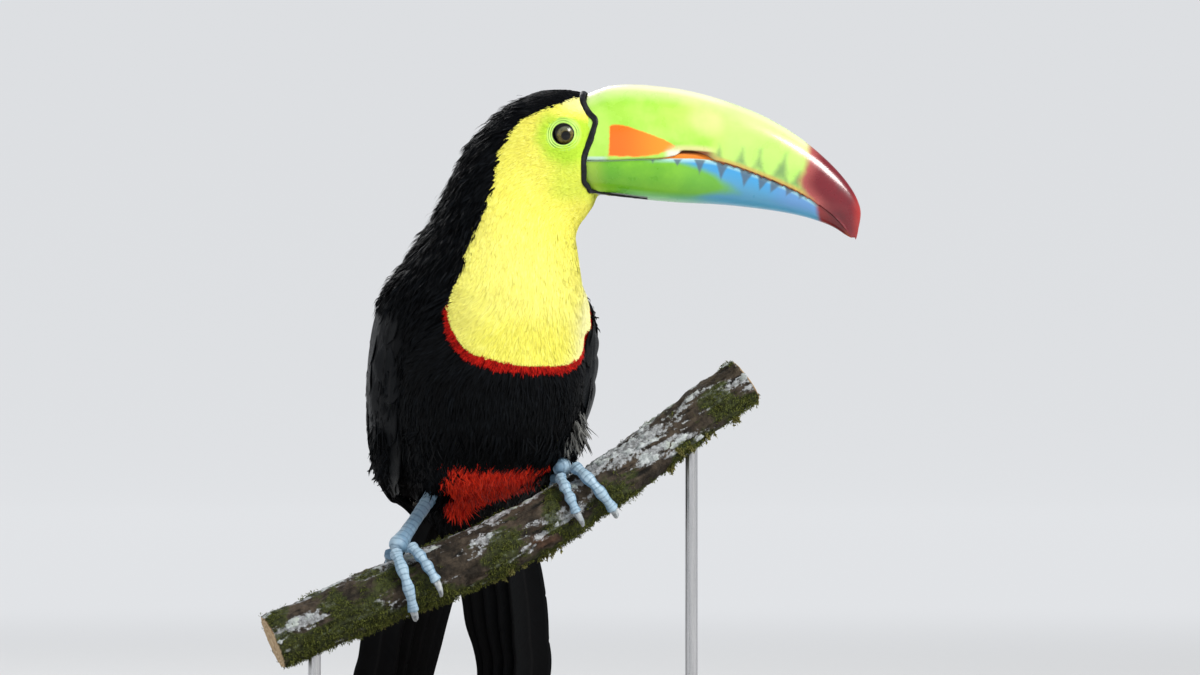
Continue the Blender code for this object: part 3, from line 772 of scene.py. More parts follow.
def lower_bill_material():
    paint, over, ahead, red, mottle, _, ragged = bill_paint("lower")
    blue = paint.layers(
        (0.05, 0.33, 0.66),
        ((0.09, 0.34, 0.56), (over, -2.0, -11.0)),
        ((0.12, 0.30, 0.60), (ahead, 84.0, 100.0)),
    )
    keel = paint.layers((0.24, 0.60, 0.34), ((0.10, 0.40, 0.62), (ahead, 36.0, 70.0)))
    maroon = paint.layers(
        (0.26, 0.02, 0.02),
        ((0.13, 0.004, 0.008), (red, 0.0, 8.0)),
        ((0.62, 0.10, 0.02), (ahead, 122.0, 129.0)),
    )
    colour = paint.layers(
        (0.12, 0.42, 0.010),
        ((0.22, 0.56, 0.02), (mottle, 0.3, 0.7)),
        ((0.44, 0.56, 0.06), (ahead, 14.0, 4.0), 0.5),
        ((0.09, 0.38, 0.05), (ahead, 34.0, 60.0), 0.5),
        (blue, (paint.attribute("blue") + (mottle - 0.5) * 12.0, -6.5, 6.0)),
        ((0.40, 0.70, 0.70), (over, -2.6, -0.8), (ahead, 28.0, 44.0), 0.75),
        (keel, (paint.attribute("above_keel"), 5.2, 1.0), (ahead, 12.0, 30.0), 0.8),
        ((0.075, 0.12, 0.17), (paint.attribute("mark") + ragged * 0.5, -0.4, 0.9), 0.86),
        (maroon, (red + ragged, -1.4, 2.0)),
        ((0.60, 0.74, 0.62), (over, -0.75, -0.3), (ahead, 96.0, 60.0, 0.0, 0.6)),
        ((0.012, 0.013, 0.02), (paint.attribute("face_black"), -0.5, 0.3)),
    )
    return bill_finish(paint, colour, (mottle, 0.2, 0.8, 0.24, 0.38))


def mouth_lining(shape):
    """What shows where the halves part: an orange wall a little in from the rims, brown at the upper one."""
    places = np.linspace(30.0, 70.0, 90)
    stations = np.interp(places, shape.lines["upper"][:, 0], np.arange(BILL_STATIONS))
    wide = np.interp(stations, np.arange(BILL_STATIONS), shape.reach["upper"][:, 0]) - 0.9
    walls = [[body.head_world(places, shape.mouth(places) + lift, side * (wide - pull)) for side in (1, -1)]
             for lift, pull in ((-1.2, 0.6), (0.2, 0.0), (1.4, 0.2), (2.6, 0.5), (4.2, 1.4))]
    grid = np.array(walls)  # rows, sides, places
    points, faces = wrapped(np.concatenate([grid[:, 0], grid[::-1, 1]]).transpose(1, 0, 2))
    paint = Paint("mouth_lining")
    grain = paint.noise(300.0, 4.0)
    paint.bump(grain, 0.2, 0.5)
    colour = paint.layers((0.72, 0.16, 0.006), ((0.86, 0.26, 0.01), grain),
                          ((0.10, 0.02, 0.004), (paint.attribute("over"), 1.6, 3.0)))
    ahead, height, _ = body.head_place(points)
    add_piece("mouth_lining", points, faces, paint.finish(colour, 0.5), "bill_green",
              values={"over": height - shape.mouth(ahead)})


def make_bill():
    shape = BillShape()
    for half, material, slot in (("upper", upper_bill_material(), "bill_green"),
                                 ("lower", lower_bill_material(), "bill_blue")):
        points, faces = shape.half_mesh(half)
        add_piece("bill_" + half + "_shell", points, faces, material, slot, ("bill_" + half,),
                  bill_values(shape, points))
    mouth_lining(shape)
    return shape


# ---------------------------------------------------------------- skin and its markings

FLESH = ("head", "neck", "trunk", "tail_coverts", "wing_right", "wing_left", "thigh_right", "thigh_left")
SKIN_VOXEL, SKIN_SWELL, SKIN_ROUNDS = 1.3, 0.5, 60
# The coat's depth at places along the body
COAT_DEPTH = (0.0, 0.15, 0.6, 1.2, 2.0, 3.0, 4.0), (0.25, 0.6, 1.1, 1.6, 2.0, 2.0, 1.8)
# Half the yellow's turn at places along the body, and its lower edge's place at turns from the middle
YELLOW_TURN = ((0.0, 0.08, 0.19, 0.42, 0.57, 0.67, 0.78, 1.07, 1.31, 1.52, 1.70, 1.93, 2.05, 2.2),
               (160.0, 151.0, 145.0, 144.0, 137.5, 133.5, 126.0, 109.0, 98.5, 90.0, 79.0, 69.5, 65.0, 62.0))
BIB_END = (0.0, 14.0, 28.0, 42.0, 52.0, 60.0, 70.0), (2.295, 2.295, 2.280, 2.242, 2.170, 2.095, 1.985)
BIB_FAN = 0.9  # how far the bib's feathers turn outwards at its sides
RED_BAND = 3.1  # how deep the red edge under the bib is
UNDERTAIL_FROM, UNDERTAIL_TO, UNDERTAIL_TURN, UNDERTAIL_MIDDLE = 2.93, 3.62, 38.0, 9.0
UPPERTAIL_FROM, UPPERTAIL_TO, UPPERTAIL_TURN = 3.12, 4.3, 112.0
NECK_RADIUS, TRUNK_LENGTH, UNDERTAIL_LENGTH, UPPERTAIL_LENGTH = 30.0, 94.0, 60.0, 50.0
EYE_CLEAR = 7.3  # bare skin round the eye's middle
EYE_HOLE = 5.6  # where the skin gives way to the eye
THROAT_REACH = 14.0  # how far ahead of the bill's base the throat's skin goes
BLACK, YELLOW, RED = "plumage_black", "plumage_yellow", "plumage_red"


class Skin:
    """The one skin under the coat: its surface, its coordinates and its markings, at each of its points."""

    def __init__(self):
        solids = [solid(name) for name in (*FLESH, "eye_right", "eye_left", "bill_upper", "bill_lower")]
        points, faces = remeshed(solids, SKIN_VOXEL, SKIN_SWELL, SKIN_ROUNDS)
        self.outer_tree = tree_of(points, faces)
        ahead, height, left = body.head_place(points)
        side, jaw = FACE_LINE[JAW_CORNER::-1], FACE_LINE[JAW_CORNER:]
        limit = np.interp(height, side[:, 1], side[:, 0]) + 0.5
        chin = (height < smooth(ahead, *jaw.T) - 0.7) & (ahead < THROAT_REACH * (1 - np.abs(left) / 14))
        kept = np.where(height < jaw[0, 1], chin | (ahead < 3.5), ahead < limit)
        used, index = np.unique(faces[kept[faces].all(axis=1)], return_inverse=True)
        points, faces = points[used], index.reshape(-1, 3)
        self.outer = points
        self.normals = point_normals(points, faces)
        self.place = body.place(points)
        self.turn = body.turn(points, self.place)
        self.depth = smooth(self.place, *COAT_DEPTH)
        self.eye_far = np.full(len(points), 99.0)
        for label, side in SIDES:
            out = points - middle("eye_" + label)
            beside = out @ body.head_left
            across = np.linalg.norm(out - np.outer(beside, body.head_left), axis=1)
            self.eye_far = np.where(beside * side > -4, np.minimum(self.eye_far, across), self.eye_far)
        self.points = points - self.depth[:, None] * self.normals
        self.whole_tree = tree_of(self.points, faces)
        self.faces = faces[(self.eye_far > EYE_HOLE)[faces].all(axis=1)]
        self.flow = self.lie()
        self.marks = self.markings()
        self.tree = tree_of(self.points, self.faces)

    def lie(self):
        """The way that the coat lies at each point: back over the head, then down the body and tail."""
        here, after = (smooth(self.place + step, body.knots, body.centres) for step in (-0.02, 0.02))
        down = unit(after - here)
        share = (1 - ease(0.0, 0.9, self.place))[:, None]
        way = down * (1 - share) - np.outer(np.ones(len(down)), body.head_ahead) * share
        fan = ease(1.6, 2.1, self.place) * ease(2.6, 2.35, self.place) * ease(84, 68, np.abs(self.turn))
        way += np.cross(self.normals, down) * (BIB_FAN * fan * self.turn / 60)[:, None]
        return unit(way - dot(way, self.normals)[:, None] * self.normals)

    def markings(self):
        """How much of each point is yellow, red and white, from how many millimetres it lies inside each."""
        turn, place = np.abs(self.turn), self.place
        round_way = (smooth(place, *YELLOW_TURN) - turn) * np.radians(1.0) * NECK_RADIUS
        down_way = np.where(turn > BIB_END[0][-1], 60.0, (smooth(turn, *BIB_END) - place) * TRUNK_LENGTH)
        yellow = np.where(place > 2.35, -20.0, np.minimum(round_way, down_way))
        self.within_yellow = yellow
        front = np.minimum((72.0 - turn) * 0.5, (place - 1.93) * TRUNK_LENGTH)
        red = np.minimum(yellow + RED_BAND * ease(74, 58, turn), front)
        under = np.minimum.reduce([
            (place - UNDERTAIL_FROM) * UNDERTAIL_LENGTH,
            (UNDERTAIL_TURN - np.abs(self.turn - UNDERTAIL_MIDDLE)) * 0.45,
            (UNDERTAIL_TO - 0.007 * self.turn - place) * UNDERTAIL_LENGTH])
        white = np.minimum.reduce([
            (place - UPPERTAIL_FROM) * UPPERTAIL_LENGTH, (UPPERTAIL_TO - place) * UPPERTAIL_LENGTH,
            (turn - UPPERTAIL_TURN) * 0.4])
        ragged = 0.9 * lumps(self.outer, 2.6, 1.0) + 1.2 * lumps(self.outer, 7.0, 2.0)
        yellow = ease(-0.6, 0.6, yellow + ragged * 0.45)
        red = ease(-0.6, 0.6, np.maximum(red, under) + ragged * 0.7) * (1 - yellow)
        return np.stack([yellow, red, ease(-1.5, 1.5, white + ragged)], axis=1)


def unwrapped(place, turn):
    """Where points of the skin lie on its unwrap: turn across, place along the body upwards."""
    return np.stack([0.02 + 0.96 * (turn + 180) / 360, 0.02 + 0.96 * (place + 0.2) / 4.6], axis=-1)


def plumage_material(name, base):
    """Yellow, red, white and black by the markings, with each strand's shade. base darkens the yellow, as
    painted shade.
    """
    paint = Paint(name)
    yellow, red, white = paint.parts("mark")
    along, tint, lime = paint.parts("strand")
    patchy = paint.noise(70.0, 3.0)
    rich = paint.layers(
        (0.74, 0.68, 0.045),
        ((0.86, 0.82, 0.085), (tint, 0.0, 0.55)),
        ((0.92, 0.90, 0.20), (tint, 0.55, 1.0), 0.8),
        ((0.74, 0.66, 0.06), (patchy, 0.60, 0.35), 0.35),
        # painted shade: a few strands dark olive, standing for the shade in the gaps among the feathers
        ((0.42, 0.34, 0.04), (tint, 0.20, 0.04), 0.30),
        # painted shade: the yellow strands paler towards their tips, so that their roots look darker, as if
        # shaded by the strands over them
        ((0.95, 0.93, 0.40), along, 0.18),
        ((0.46, 0.70, 0.045), (lime, 0.05, 0.95)),
        # pale where the face's value is below 0, which takes in the painted highlight on the bib's left side
        ((0.94, 0.92, 0.55), (lime, -0.05, -0.95), 0.85),
    )
    scarlet = paint.layers((0.40, 0.006, 0.004), ((0.95, 0.050, 0.020), (tint, 0.05, 0.85)))
    crimson = paint.layers((0.12, 0.002, 0.002), ((0.56, 0.014, 0.008), (tint, 0.05, 0.85)),
                           (scarlet, (lime, 0.0, 1.0)))
    snow = paint.layers((0.62, 0.62, 0.58), ((0.86, 0.86, 0.82), tint))
    coats = [((0.0050, 0.0062, 0.0080), tint * tint), (rich, yellow), (crimson, red), (snow, white)]
    # painted shade: the yellow darkened, as if shaded by the strands over it
    if base:
        coats.append(((0.30, 0.22, 0.02), yellow, base))
    roughness = paint.span(paint.math("MAXIMUM", yellow, white), 0.0, 1.0, 0.50, 0.62)
    return paint.finish(paint.layers((0.0016, 0.0018, 0.0022), *coats), roughness, Specular_IOR_Level=0.05)


# ---------------------------------------------------------------- coat

STATIONS = np.array((0.0, 0.36, 0.72, 1.0))  # along a strand
STRAND_ALONG = STATIONS[[0, 0, 1, 1, 2, 2, 3]]  # where its seven points are
STRAND_SHAPE = np.array((0.55, 1.0, 0.78))  # its half width at the first three
PATCH = 0.003  # how far a strand reaches on the unwrap


def scattered(points, faces, weights, count):
    """Faces drawn by their area and weight. count is how many, from the weighted area."""
    areas = np.linalg.norm(face_normals(points, faces), axis=1) * weights
    return draw.choice(len(areas), int(count(areas.sum())), p=areas / areas.sum())


def rooted(skin, wanted, spacing):
    """Roots spread evenly over the wanted faces, given as what finds any of the skin's values at them."""
    chosen = scattered(skin.points, skin.faces, wanted, lambda area: 1.9 * area / spacing**2)
    one, two = np.sqrt(draw.random(len(chosen))), draw.random(len(chosen))
    shares = np.stack([1 - one, one * (1 - two), one * two], axis=1)
    roots = np.einsum("nci,nc->ni", skin.points[skin.faces[chosen]], shares)
    first = np.unique(np.floor(roots / spacing), axis=0, return_index=True)[1]
    corners, shares = skin.faces[chosen[first]], shares[first]
    return lambda values: np.einsum("nc...,nc->n...", values[corners], shares)


def led(skin, place, way, lengths, turned):
    """Guides on the skin, from each root along the coat's lie: points, normals and sides at the stations."""
    guides = []
    for step in np.diff(STATIONS, prepend=0.0):
        found = [skin.tree.find_nearest(Vector(p)) for p in place + way * (lengths * step)[:, None]]
        place = np.array([near[0] for near in found], float)
        corners = skin.faces[[near[2] for near in found]]
        normal, lie = (unit(values[corners].mean(axis=1)) for values in (skin.normals, skin.flow))
        lie = lie * np.cos(turned)[:, None] + np.cross(normal, lie) * np.sin(turned)[:, None]
        way = unit(lie - dot(lie, normal)[:, None] * normal)
        guides.append((place, normal, np.cross(normal, way)))
    return [np.stack(rows, axis=1) for rows in zip(*guides)]


def strands(guides, lift, count, spread, width, roll=0.5, loose=0.15):
    """Tapering strips that share each guide, as points (tufts, strips, 7, 3)."""
    tufts = len(lift)
    slot = (np.arange(count) + 0.5) / count * 2 - 1
    offset = slot[None] + draw.normal(0, 0.35 / count, (tufts, count))
    reach = 1.0 - 0.30 * slot[None] ** 2 - 0.28 * draw.random((tufts, count))
    high = lift[:, None] * (1 + loose * draw.normal(0, 1, (tufts, count)))
    tip_side = offset + draw.normal(0, 0.30, (tufts, count))
    angle = draw.normal(0, roll, (tufts, count))[..., None]
    pick = np.arange(tufts)[:, None]
    rows = []
    for k, station in enumerate(STATIONS):
        at = np.clip(reach * station, 0, 1)
        i = np.clip(np.searchsorted(STATIONS, at, side="right") - 1, 0, len(STATIONS) - 2)
        t = ((at - STATIONS[i]) / (STATIONS[i + 1] - STATIONS[i]))[..., None]
        place, normal, side = (rows_of[pick, i] * (1 - t) + rows_of[pick, i + 1] * t for rows_of in guides)
        normal, side = unit(normal), unit(side)
        sideways = spread * (offset * (1 - station) + tip_side * station)
        rise = high * (np.sin(station * math.pi / 2) ** 0.8) - 0.12 * lift[:, None] * (1 - station)
        centre = place + side * sideways[..., None] + normal * rise[..., None]
        if k < len(STRAND_SHAPE):
            half = (side * np.cos(angle) + normal * np.sin(angle)) * (width / 2 * STRAND_SHAPE[k])
            rows += [centre - half, centre + half]
    return np.stack([*rows, centre], axis=2)


def grow(skin, name, slot, wanted, spacing, length, width, count, spread, material, lime=None, within=None,
         stray=0.10, stand=1.0, **habit):
    """A coat piece over the wanted points of the skin. length is one length, or places and their lengths."""
    at = rooted(skin, wanted[skin.faces].mean(axis=1) > 0.5, spacing)
    place, turn, marks = at(skin.place), at(skin.turn), at(skin.marks) > 0.5
    tufts = len(place)
    lengths = (smooth(place, *length) if np.ndim(length) else length) * (0.85 + 0.3 * draw.random(tufts))
    if within is not None:
        lengths = np.minimum(lengths, 2.0 + 0.8 * np.maximum(at(within), 0))
    guides = led(skin, at(skin.points), unit(at(skin.flow)), lengths, draw.normal(0, stray, tufts))
    lift = at(skin.depth) * (0.80 + 0.35 * draw.random(tufts)) * stand
    made = strands(guides, lift, count, spread, width, **habit)
    tint = 0.5 + 0.22 * draw.normal(0, 1, (tufts, count)) + 0.16 * draw.normal(0, 1, (tufts, 1))
    marks = marks * 1.0
    marks[:, :2] = (slot == YELLOW), (slot == RED)
    own_lime = np.zeros(tufts) if lime is None else at(lime)
    shape = (tufts, count, LEAF_POINTS)
    strand = columns(shape, STRAND_ALONG, np.clip(tint, 0, 1)[..., None], own_lime[:, None, None])
    across = ((np.arange(count) + 0.5) / count - 0.5)[None, :, None] * PATCH
    patch = unwrapped(place, turn)[:, None, None, :] + columns(shape, across, (STRAND_ALONG - 0.5) * PATCH)
    values = {"mark": np.repeat(marks, count * LEAF_POINTS, axis=0), "strand": strand.reshape(-1, 3)}
    add_piece(name, made.reshape(-1, 3), leaf_faces(tufts * count), material, slot, (), values,
              patch.reshape(-1, 2))


def face_shade(skin):
    """From -1, pale, by the forehead and bill, over 0, lemon yellow, to 1, lime green, round the eye. The
    bib is painted paler on the bird's left, as painted light.
    """
    ahead, height, left = body.head_place(skin.outer)
    near_eye = ease(17.0, 5.0, skin.eye_far + 1.5 * lumps(skin.outer, 6.0, 3.0)) * (np.abs(left) > 8) * 0.7
    lower_face = ease(300, 312, height) * ease(-22, -6, ahead) * 0.45
    lime = np.clip(near_eye + lower_face, 0, 1)
    forehead = ease(341, 350, height) * ease(-16, -4, ahead)
    lores = ease(-9.5, -3.5, ahead) * ease(318, 332, height) * 0.35
    place, turn = skin.place, skin.turn
    golden = ease(42, 12, np.abs(turn + 8)) * ease(1.75, 2.15, place)
    # a little paler away from the bib's golden middle; much paler on the bird's left, a painted highlight
    # where the key light falls
    bib = ease(0.45, 1.5, place) * (0.26 - 0.26 * golden) + ease(0.8, 1.6, place) * ease(0, 45, turn) * 0.42
    return np.clip(lime - 1.3 * forehead + lores - bib, -1, 1)


def make_body():
    skin = Skin()
    shade = face_shade(skin)
    strand = columns(shade.shape, 0.0, 0.4, shade)
    # the skin's yellow is darkened by 0.10: painted shade under the coat
    add_piece("skin", skin.points, skin.faces, plumage_material("skin", 0.10), BLACK, FLESH,
              {"mark": skin.marks, "strand": strand}, unwrapped(skin.place, skin.turn))
    coat = plumage_material("plumage", 0.0)
    place, turn, clear = skin.place, np.abs(skin.turn), skin.eye_far > EYE_CLEAR
    yellow, red, white = skin.marks.T
    dark = 1 - np.maximum.reduce([yellow, red, white]) > 0.5
    yellow, head, front = yellow > 0.5, place < 0.75, (turn < 75) & (place < 3.1)
    within = skin.within_yellow
    # Name, slot, where it grows, spacing, length, width, strands in a tuft and their spread, then its habit
    for name, slot, wanted, *sizes, habit in (
        ("face", YELLOW, yellow & head & clear, 0.88, ((0, 0.3, 0.8), (2.6, 3.8, 6.5)), 0.32, 5, 0.75,
         dict(lime=shade, roll=0.12, stand=0.55, loose=0.05)),
        ("throat", YELLOW, yellow & ~head & (place < 1.5), 1.25, ((0.7, 1.5), (6.5, 10.0)), 0.40, 6, 1.2,
         dict(lime=shade, roll=0.15, stand=0.5, loose=0.06, within=within)),
        ("bib", YELLOW, yellow & (place >= 1.5), 1.35, 11.5, 0.44, 7, 1.6,
         dict(lime=shade, roll=0.18, stand=0.5, loose=0.08, within=within)),
        ("cap", BLACK, dark & head & clear, 1.1, ((0, 0.3, 0.8), (2.8, 5.0, 9.0)), 0.5, 5, 1.0,
         dict(roll=0.2, stand=0.45)),
        ("nape", BLACK, dark & ~head & (place < 2.0), 1.8, ((0.7, 2.0), (9.0, 14.0)), 0.8, 6, 1.8,
         dict(stand=1.15, loose=0.3, roll=0.3)),
        ("hackles", BLACK, dark & (place > 0.4) & (place < 1.9), 5.2, ((0.4, 1.9), (8.0, 15.0)), 0.7, 9,
         1.6, dict(stand=1.6, loose=0.35, roll=0.3, stray=0.2)),
        ("breast_band", RED, (red > 0.3) & (place < 2.6), 1.0, 4.6, 0.34, 7, 1.1,
         dict(stand=0.6, roll=0.25)),
        ("belly", BLACK, dark & front & (place >= 2.0), 2.1, 14.0, 0.9, 6, 2.4, dict(roll=0.3, stand=0.8)),
        ("flanks", BLACK, dark & (place >= 2.75) & (place < 3.3) & (turn < 84), 2.0, 19.0, 0.9, 7, 3.2,
         dict(stand=1.5, loose=0.35, stray=0.25)),
        ("back", BLACK, dark & (place >= 2.0) & ~front, 2.4, 14.0, 1.1, 6, 2.8, {}),
        ("shoulders", BLACK, dark & (place > 1.84) & (place < 2.10) & (turn > 62), 2.0, 14.0, 0.9, 6, 2.4,
         dict(stand=1.9, loose=0.2, stray=0.15)),
        ("undertail", RED, (red > 0.5) & (place >= 2.6), 1.7, ((2.9, 4.0), (13.0, 20.0)), 0.6, 7, 2.2,
         dict(lime=np.ones(len(place)), stand=1.4, loose=0.3, stray=0.2)),
        ("uppertail", BLACK, white > 0.5, 2.0, 14.0, 0.8, 6, 2.2, {}),
    ):
        grow(skin, "coat_" + name, slot, wanted, *sizes, coat, **habit)
    return skin


# ---------------------------------------------------------------- long feathers


class Vanes:
    """Feathers with a quill and a vane, gathered into one mesh. Each is closed, with two faces."""

    COLUMNS, THICKNESS = 11, 0.24

    def __init__(self):
        self.parts, self.values, self.patches = [], [], []

    def add(self, axis, normals, half_width, root_uv, rows, camber, tip, ragged, tints, lean=0.0):
        """axis and normals lie along the quill, half_width is shares of it and widths, and lean moves the
        quill off the middle."""
        tint = draw.uniform(*tints)
        knots = np.linspace(0, 1, len(axis))
        across = np.linspace(-1, 1, self.COLUMNS)
        ends = 1 - tip * np.abs(across) ** 2.2 - ragged * draw.random(self.COLUMNS)
        at = np.linspace(0, 1, rows)[:, None] * ends[None]
        place = smooth(at, knots, axis)
        normal = unit(smooth(at, knots, normals))
        after, before = (smooth(np.clip(at + step, 0, 1), knots, axis) for step in (0.02, -0.02))
        side = unit(np.cross(normal, unit(after - before)))
        width = smooth(at, *half_width)
        notches = np.ones_like(at)
        for _ in range(3):
            where, which = draw.uniform(0.35, 0.95), draw.choice((-1, 1))
            notch = np.exp(-(((at - where + 0.03 * np.abs(across)[None]) / 0.006) ** 2))
            notches -= 0.05 * notch * (np.sign(across) == which)[None] * np.abs(across)[None] ** 2
        sideways = (across[None] - lean) * width * notches
        quill = 0.28 * np.exp(-((across[None] / 0.12) ** 2)) * (1 - 0.7 * at)
        rise = camber * (1 - across[None] ** 2) * np.minimum(width / width.max(), 1) + quill
        top = place + side * sideways[..., None] + normal * rise[..., None]
        under = rise - self.THICKNESS - 2 * quill
        low = place + side * (sideways * 0.995)[..., None] + normal * under[..., None]
        self.parts.append(wrapped(np.concatenate([top, low[:, ::-1]], axis=1)))
        both, along, wide = (np.concatenate([v, v[..., ::-1]], axis=-1) for v in (across, at, width))
        vane = columns(along.shape, both[None] * wide, along * run_along(axis)[-1], tint)
        patch = columns(along.shape, both * PATCH / 2, (along - 0.5) * PATCH) + root_uv
        for kept, grid in ((self.values, vane), (self.patches, patch)):
            kept.append(np.concatenate([grid.reshape(-1, grid.shape[-1]), grid[[0, -1]].mean(axis=1)]))

    def piece(self, name, material, replaces=()):
        add_piece(name, *gathered(self.parts), material, BLACK, replaces,
                  {"vane": np.concatenate(self.values)}, np.concatenate(self.patches))


def vane_material():
    """Glossy black feather: fine barbs slant out from the quill."""
    paint = Paint("vane")
    across, along, tint = paint.parts("vane")
    off = paint.math("ABSOLUTE", across)
    slant = along - off * 1.3
    clumps = paint.noise(1.0, 2.0, place=paint.node("ShaderNodeCombineXYZ", across * 0.15, slant, tint))
    colour = paint.layers(
        (0.0016, 0.0019, 0.0024),
        ((0.0050, 0.0066, 0.0090), clumps * tint),
        ((0.010, 0.010, 0.011), (off, 0.9, 0.3), 0.6),
    )
    paint.bump(paint.math("SINE", slant * 9.0) * 0.35 + clumps, 0.12, 0.7)
    return paint.finish(colour, paint.span(clumps, 0.3, 0.7, 0.30, 0.42), Specular_IOR_Level=0.09,
                        Sheen_Weight=0.008, Sheen_Roughness=0.35, Sheen_Tint=(0.55, 0.8, 1.0))


class Wing:
    """A folded wing's coordinates: place along the body, and share from its front (0) to its back (1)."""

    def __init__(self, label, side):
        self.side = side
        points, faces = solid("wing_" + label)
        self.tree = tree_of(points, faces)
        place = body.place(points)
        turn = np.abs(body.turn(points, place))
        self.end = place.max()
        self.knots = np.linspace(place.min() + 0.04, self.end - 0.06, 14)
        near = [turn[np.abs(place - k) < 0.09] for k in self.knots]
        self.front, self.back = (blurred([edge(n) for n in near], 1.0) for edge in (np.min, np.max))

    def spread(self, place):
        return np.interp(place, self.knots, self.back - self.front)

    def path(self, places, shares, out):
        """Points and normals on the wing's outer surface at places and shares, and their root's unwrap."""
        front, back = (np.interp(places, self.knots, edge) for edge in (self.front, self.back))
        turns = self.side * (front + (back - front) * shares)
        centres, sides, fronts = body.frame_at(places)
        points, normals = [], []
        for centre, side, ahead, a in zip(centres, sides, fronts, np.radians(turns)):
            way = ahead * math.cos(a) + side * math.sin(a)
            found, normal, _, _ = self.tree.ray_cast(Vector(centre + way * 150), Vector(-way), 150)
            if found is None:
                found, normal, _, _ = self.tree.find_nearest(Vector(centre + way * 60))
            points.append(found)
            normals.append(normal if normal.dot(Vector(way)) > 0 else -normal)
        normals = unit(blurred(np.array(normals, float), 1.0))
        points = blurred(np.array(points, float), 0.7) + normals * out
        return points, normals, unwrapped(places[0], turns[0])


FLIGHT_FEATHERS = 13
# Rows of coverts from the shoulder down: where each ends along the body, its feathers' width and length
COVERT_ROWS = ((2.24, 6.5, 17.0), (2.33, 7.0, 18.0), (2.42, 7.5, 19.0), (2.51, 8.0, 20.0),
               (2.61, 8.5, 22.0), (2.72, 9.5, 25.0), (2.86, 10.5, 29.0))


def make_wing(label, side, skin, material):
    """Primaries along the lower edge, secondaries and tertials over them, and coverts over their roots."""
    wing = Wing(label, side)
    vanes = Vanes()
    along = np.linspace(0, 1, 12)
    for rank in np.arange(FLIGHT_FEATHERS) / (FLIGHT_FEATHERS - 1):
        share = 0.05 + 0.86 * rank
        last = wing.end - (0.05 + 0.10 * rank if rank < 0.45 else 0.10 + 0.75 * (rank - 0.42) ** 0.8)
        places = np.linspace(2.42 + 0.1 * rank, last, 12)
        axis, normals, uv = wing.path(places, share + (0.5 - share) * 0.25 * along**2, -0.9 + 1.7 * rank)
        wide = np.minimum(7.4, 0.30 * np.radians(wing.spread(places)) * 40)
        wide *= smooth(along, (0, 0.2, 0.75, 1.0), (0.6, 1.0, 0.95, 0.55))
        vanes.add(axis, normals, (along, wide), uv, 80, 0.9, 0.09, 0.015, (0.3, 0.8), 0.25 * side)
    vanes.piece("flight_feathers_" + label, material)
    vanes = Vanes()
    for row, (end, half, length) in enumerate(COVERT_ROWS):
        number = max(4, int(np.radians(wing.spread(end)) * 46 / (half * 1.05)))
        for k in range(number):
            share = (k + 0.5 + 0.35 * (row % 2)) / number
            if share > 0.98:
                continue
            last = end + draw.normal(0, 0.012) + 0.05 * math.sin(math.pi * share)
            places = np.linspace(last - length / TRUNK_LENGTH * 1.15, last, 7)
            axis, normals, uv = wing.path(places, np.full(7, share), 0.1 + 0.13 * (len(COVERT_ROWS) - row))
            under = skin.faces[skin.tree.find_nearest(Vector(axis[1]))[2]]
            if skin.marks[under][:, :2].max() > 0.1:  # it would cover the yellow or the red
                continue
            widths = (0, 0.35, 0.8, 1.0), (half * 0.15, half * 0.66, half * 0.62, half * 0.36)
            vanes.add(axis, normals, widths, uv, 20, 0.6, 0.26, 0.07, (0.2, 0.9))
    vanes.piece("wing_coverts_" + label, material)


TAIL_FEATHERS = 5  # a side
TAIL_ROOTS = -10.0  # where the tail's feathers spring from, above its CAD fans
TAIL_WIDTHS = (0.0, 0.25, 0.7, 0.93, 1.0), (3.2, 7.8, 9.8, 8.8, 6.0)


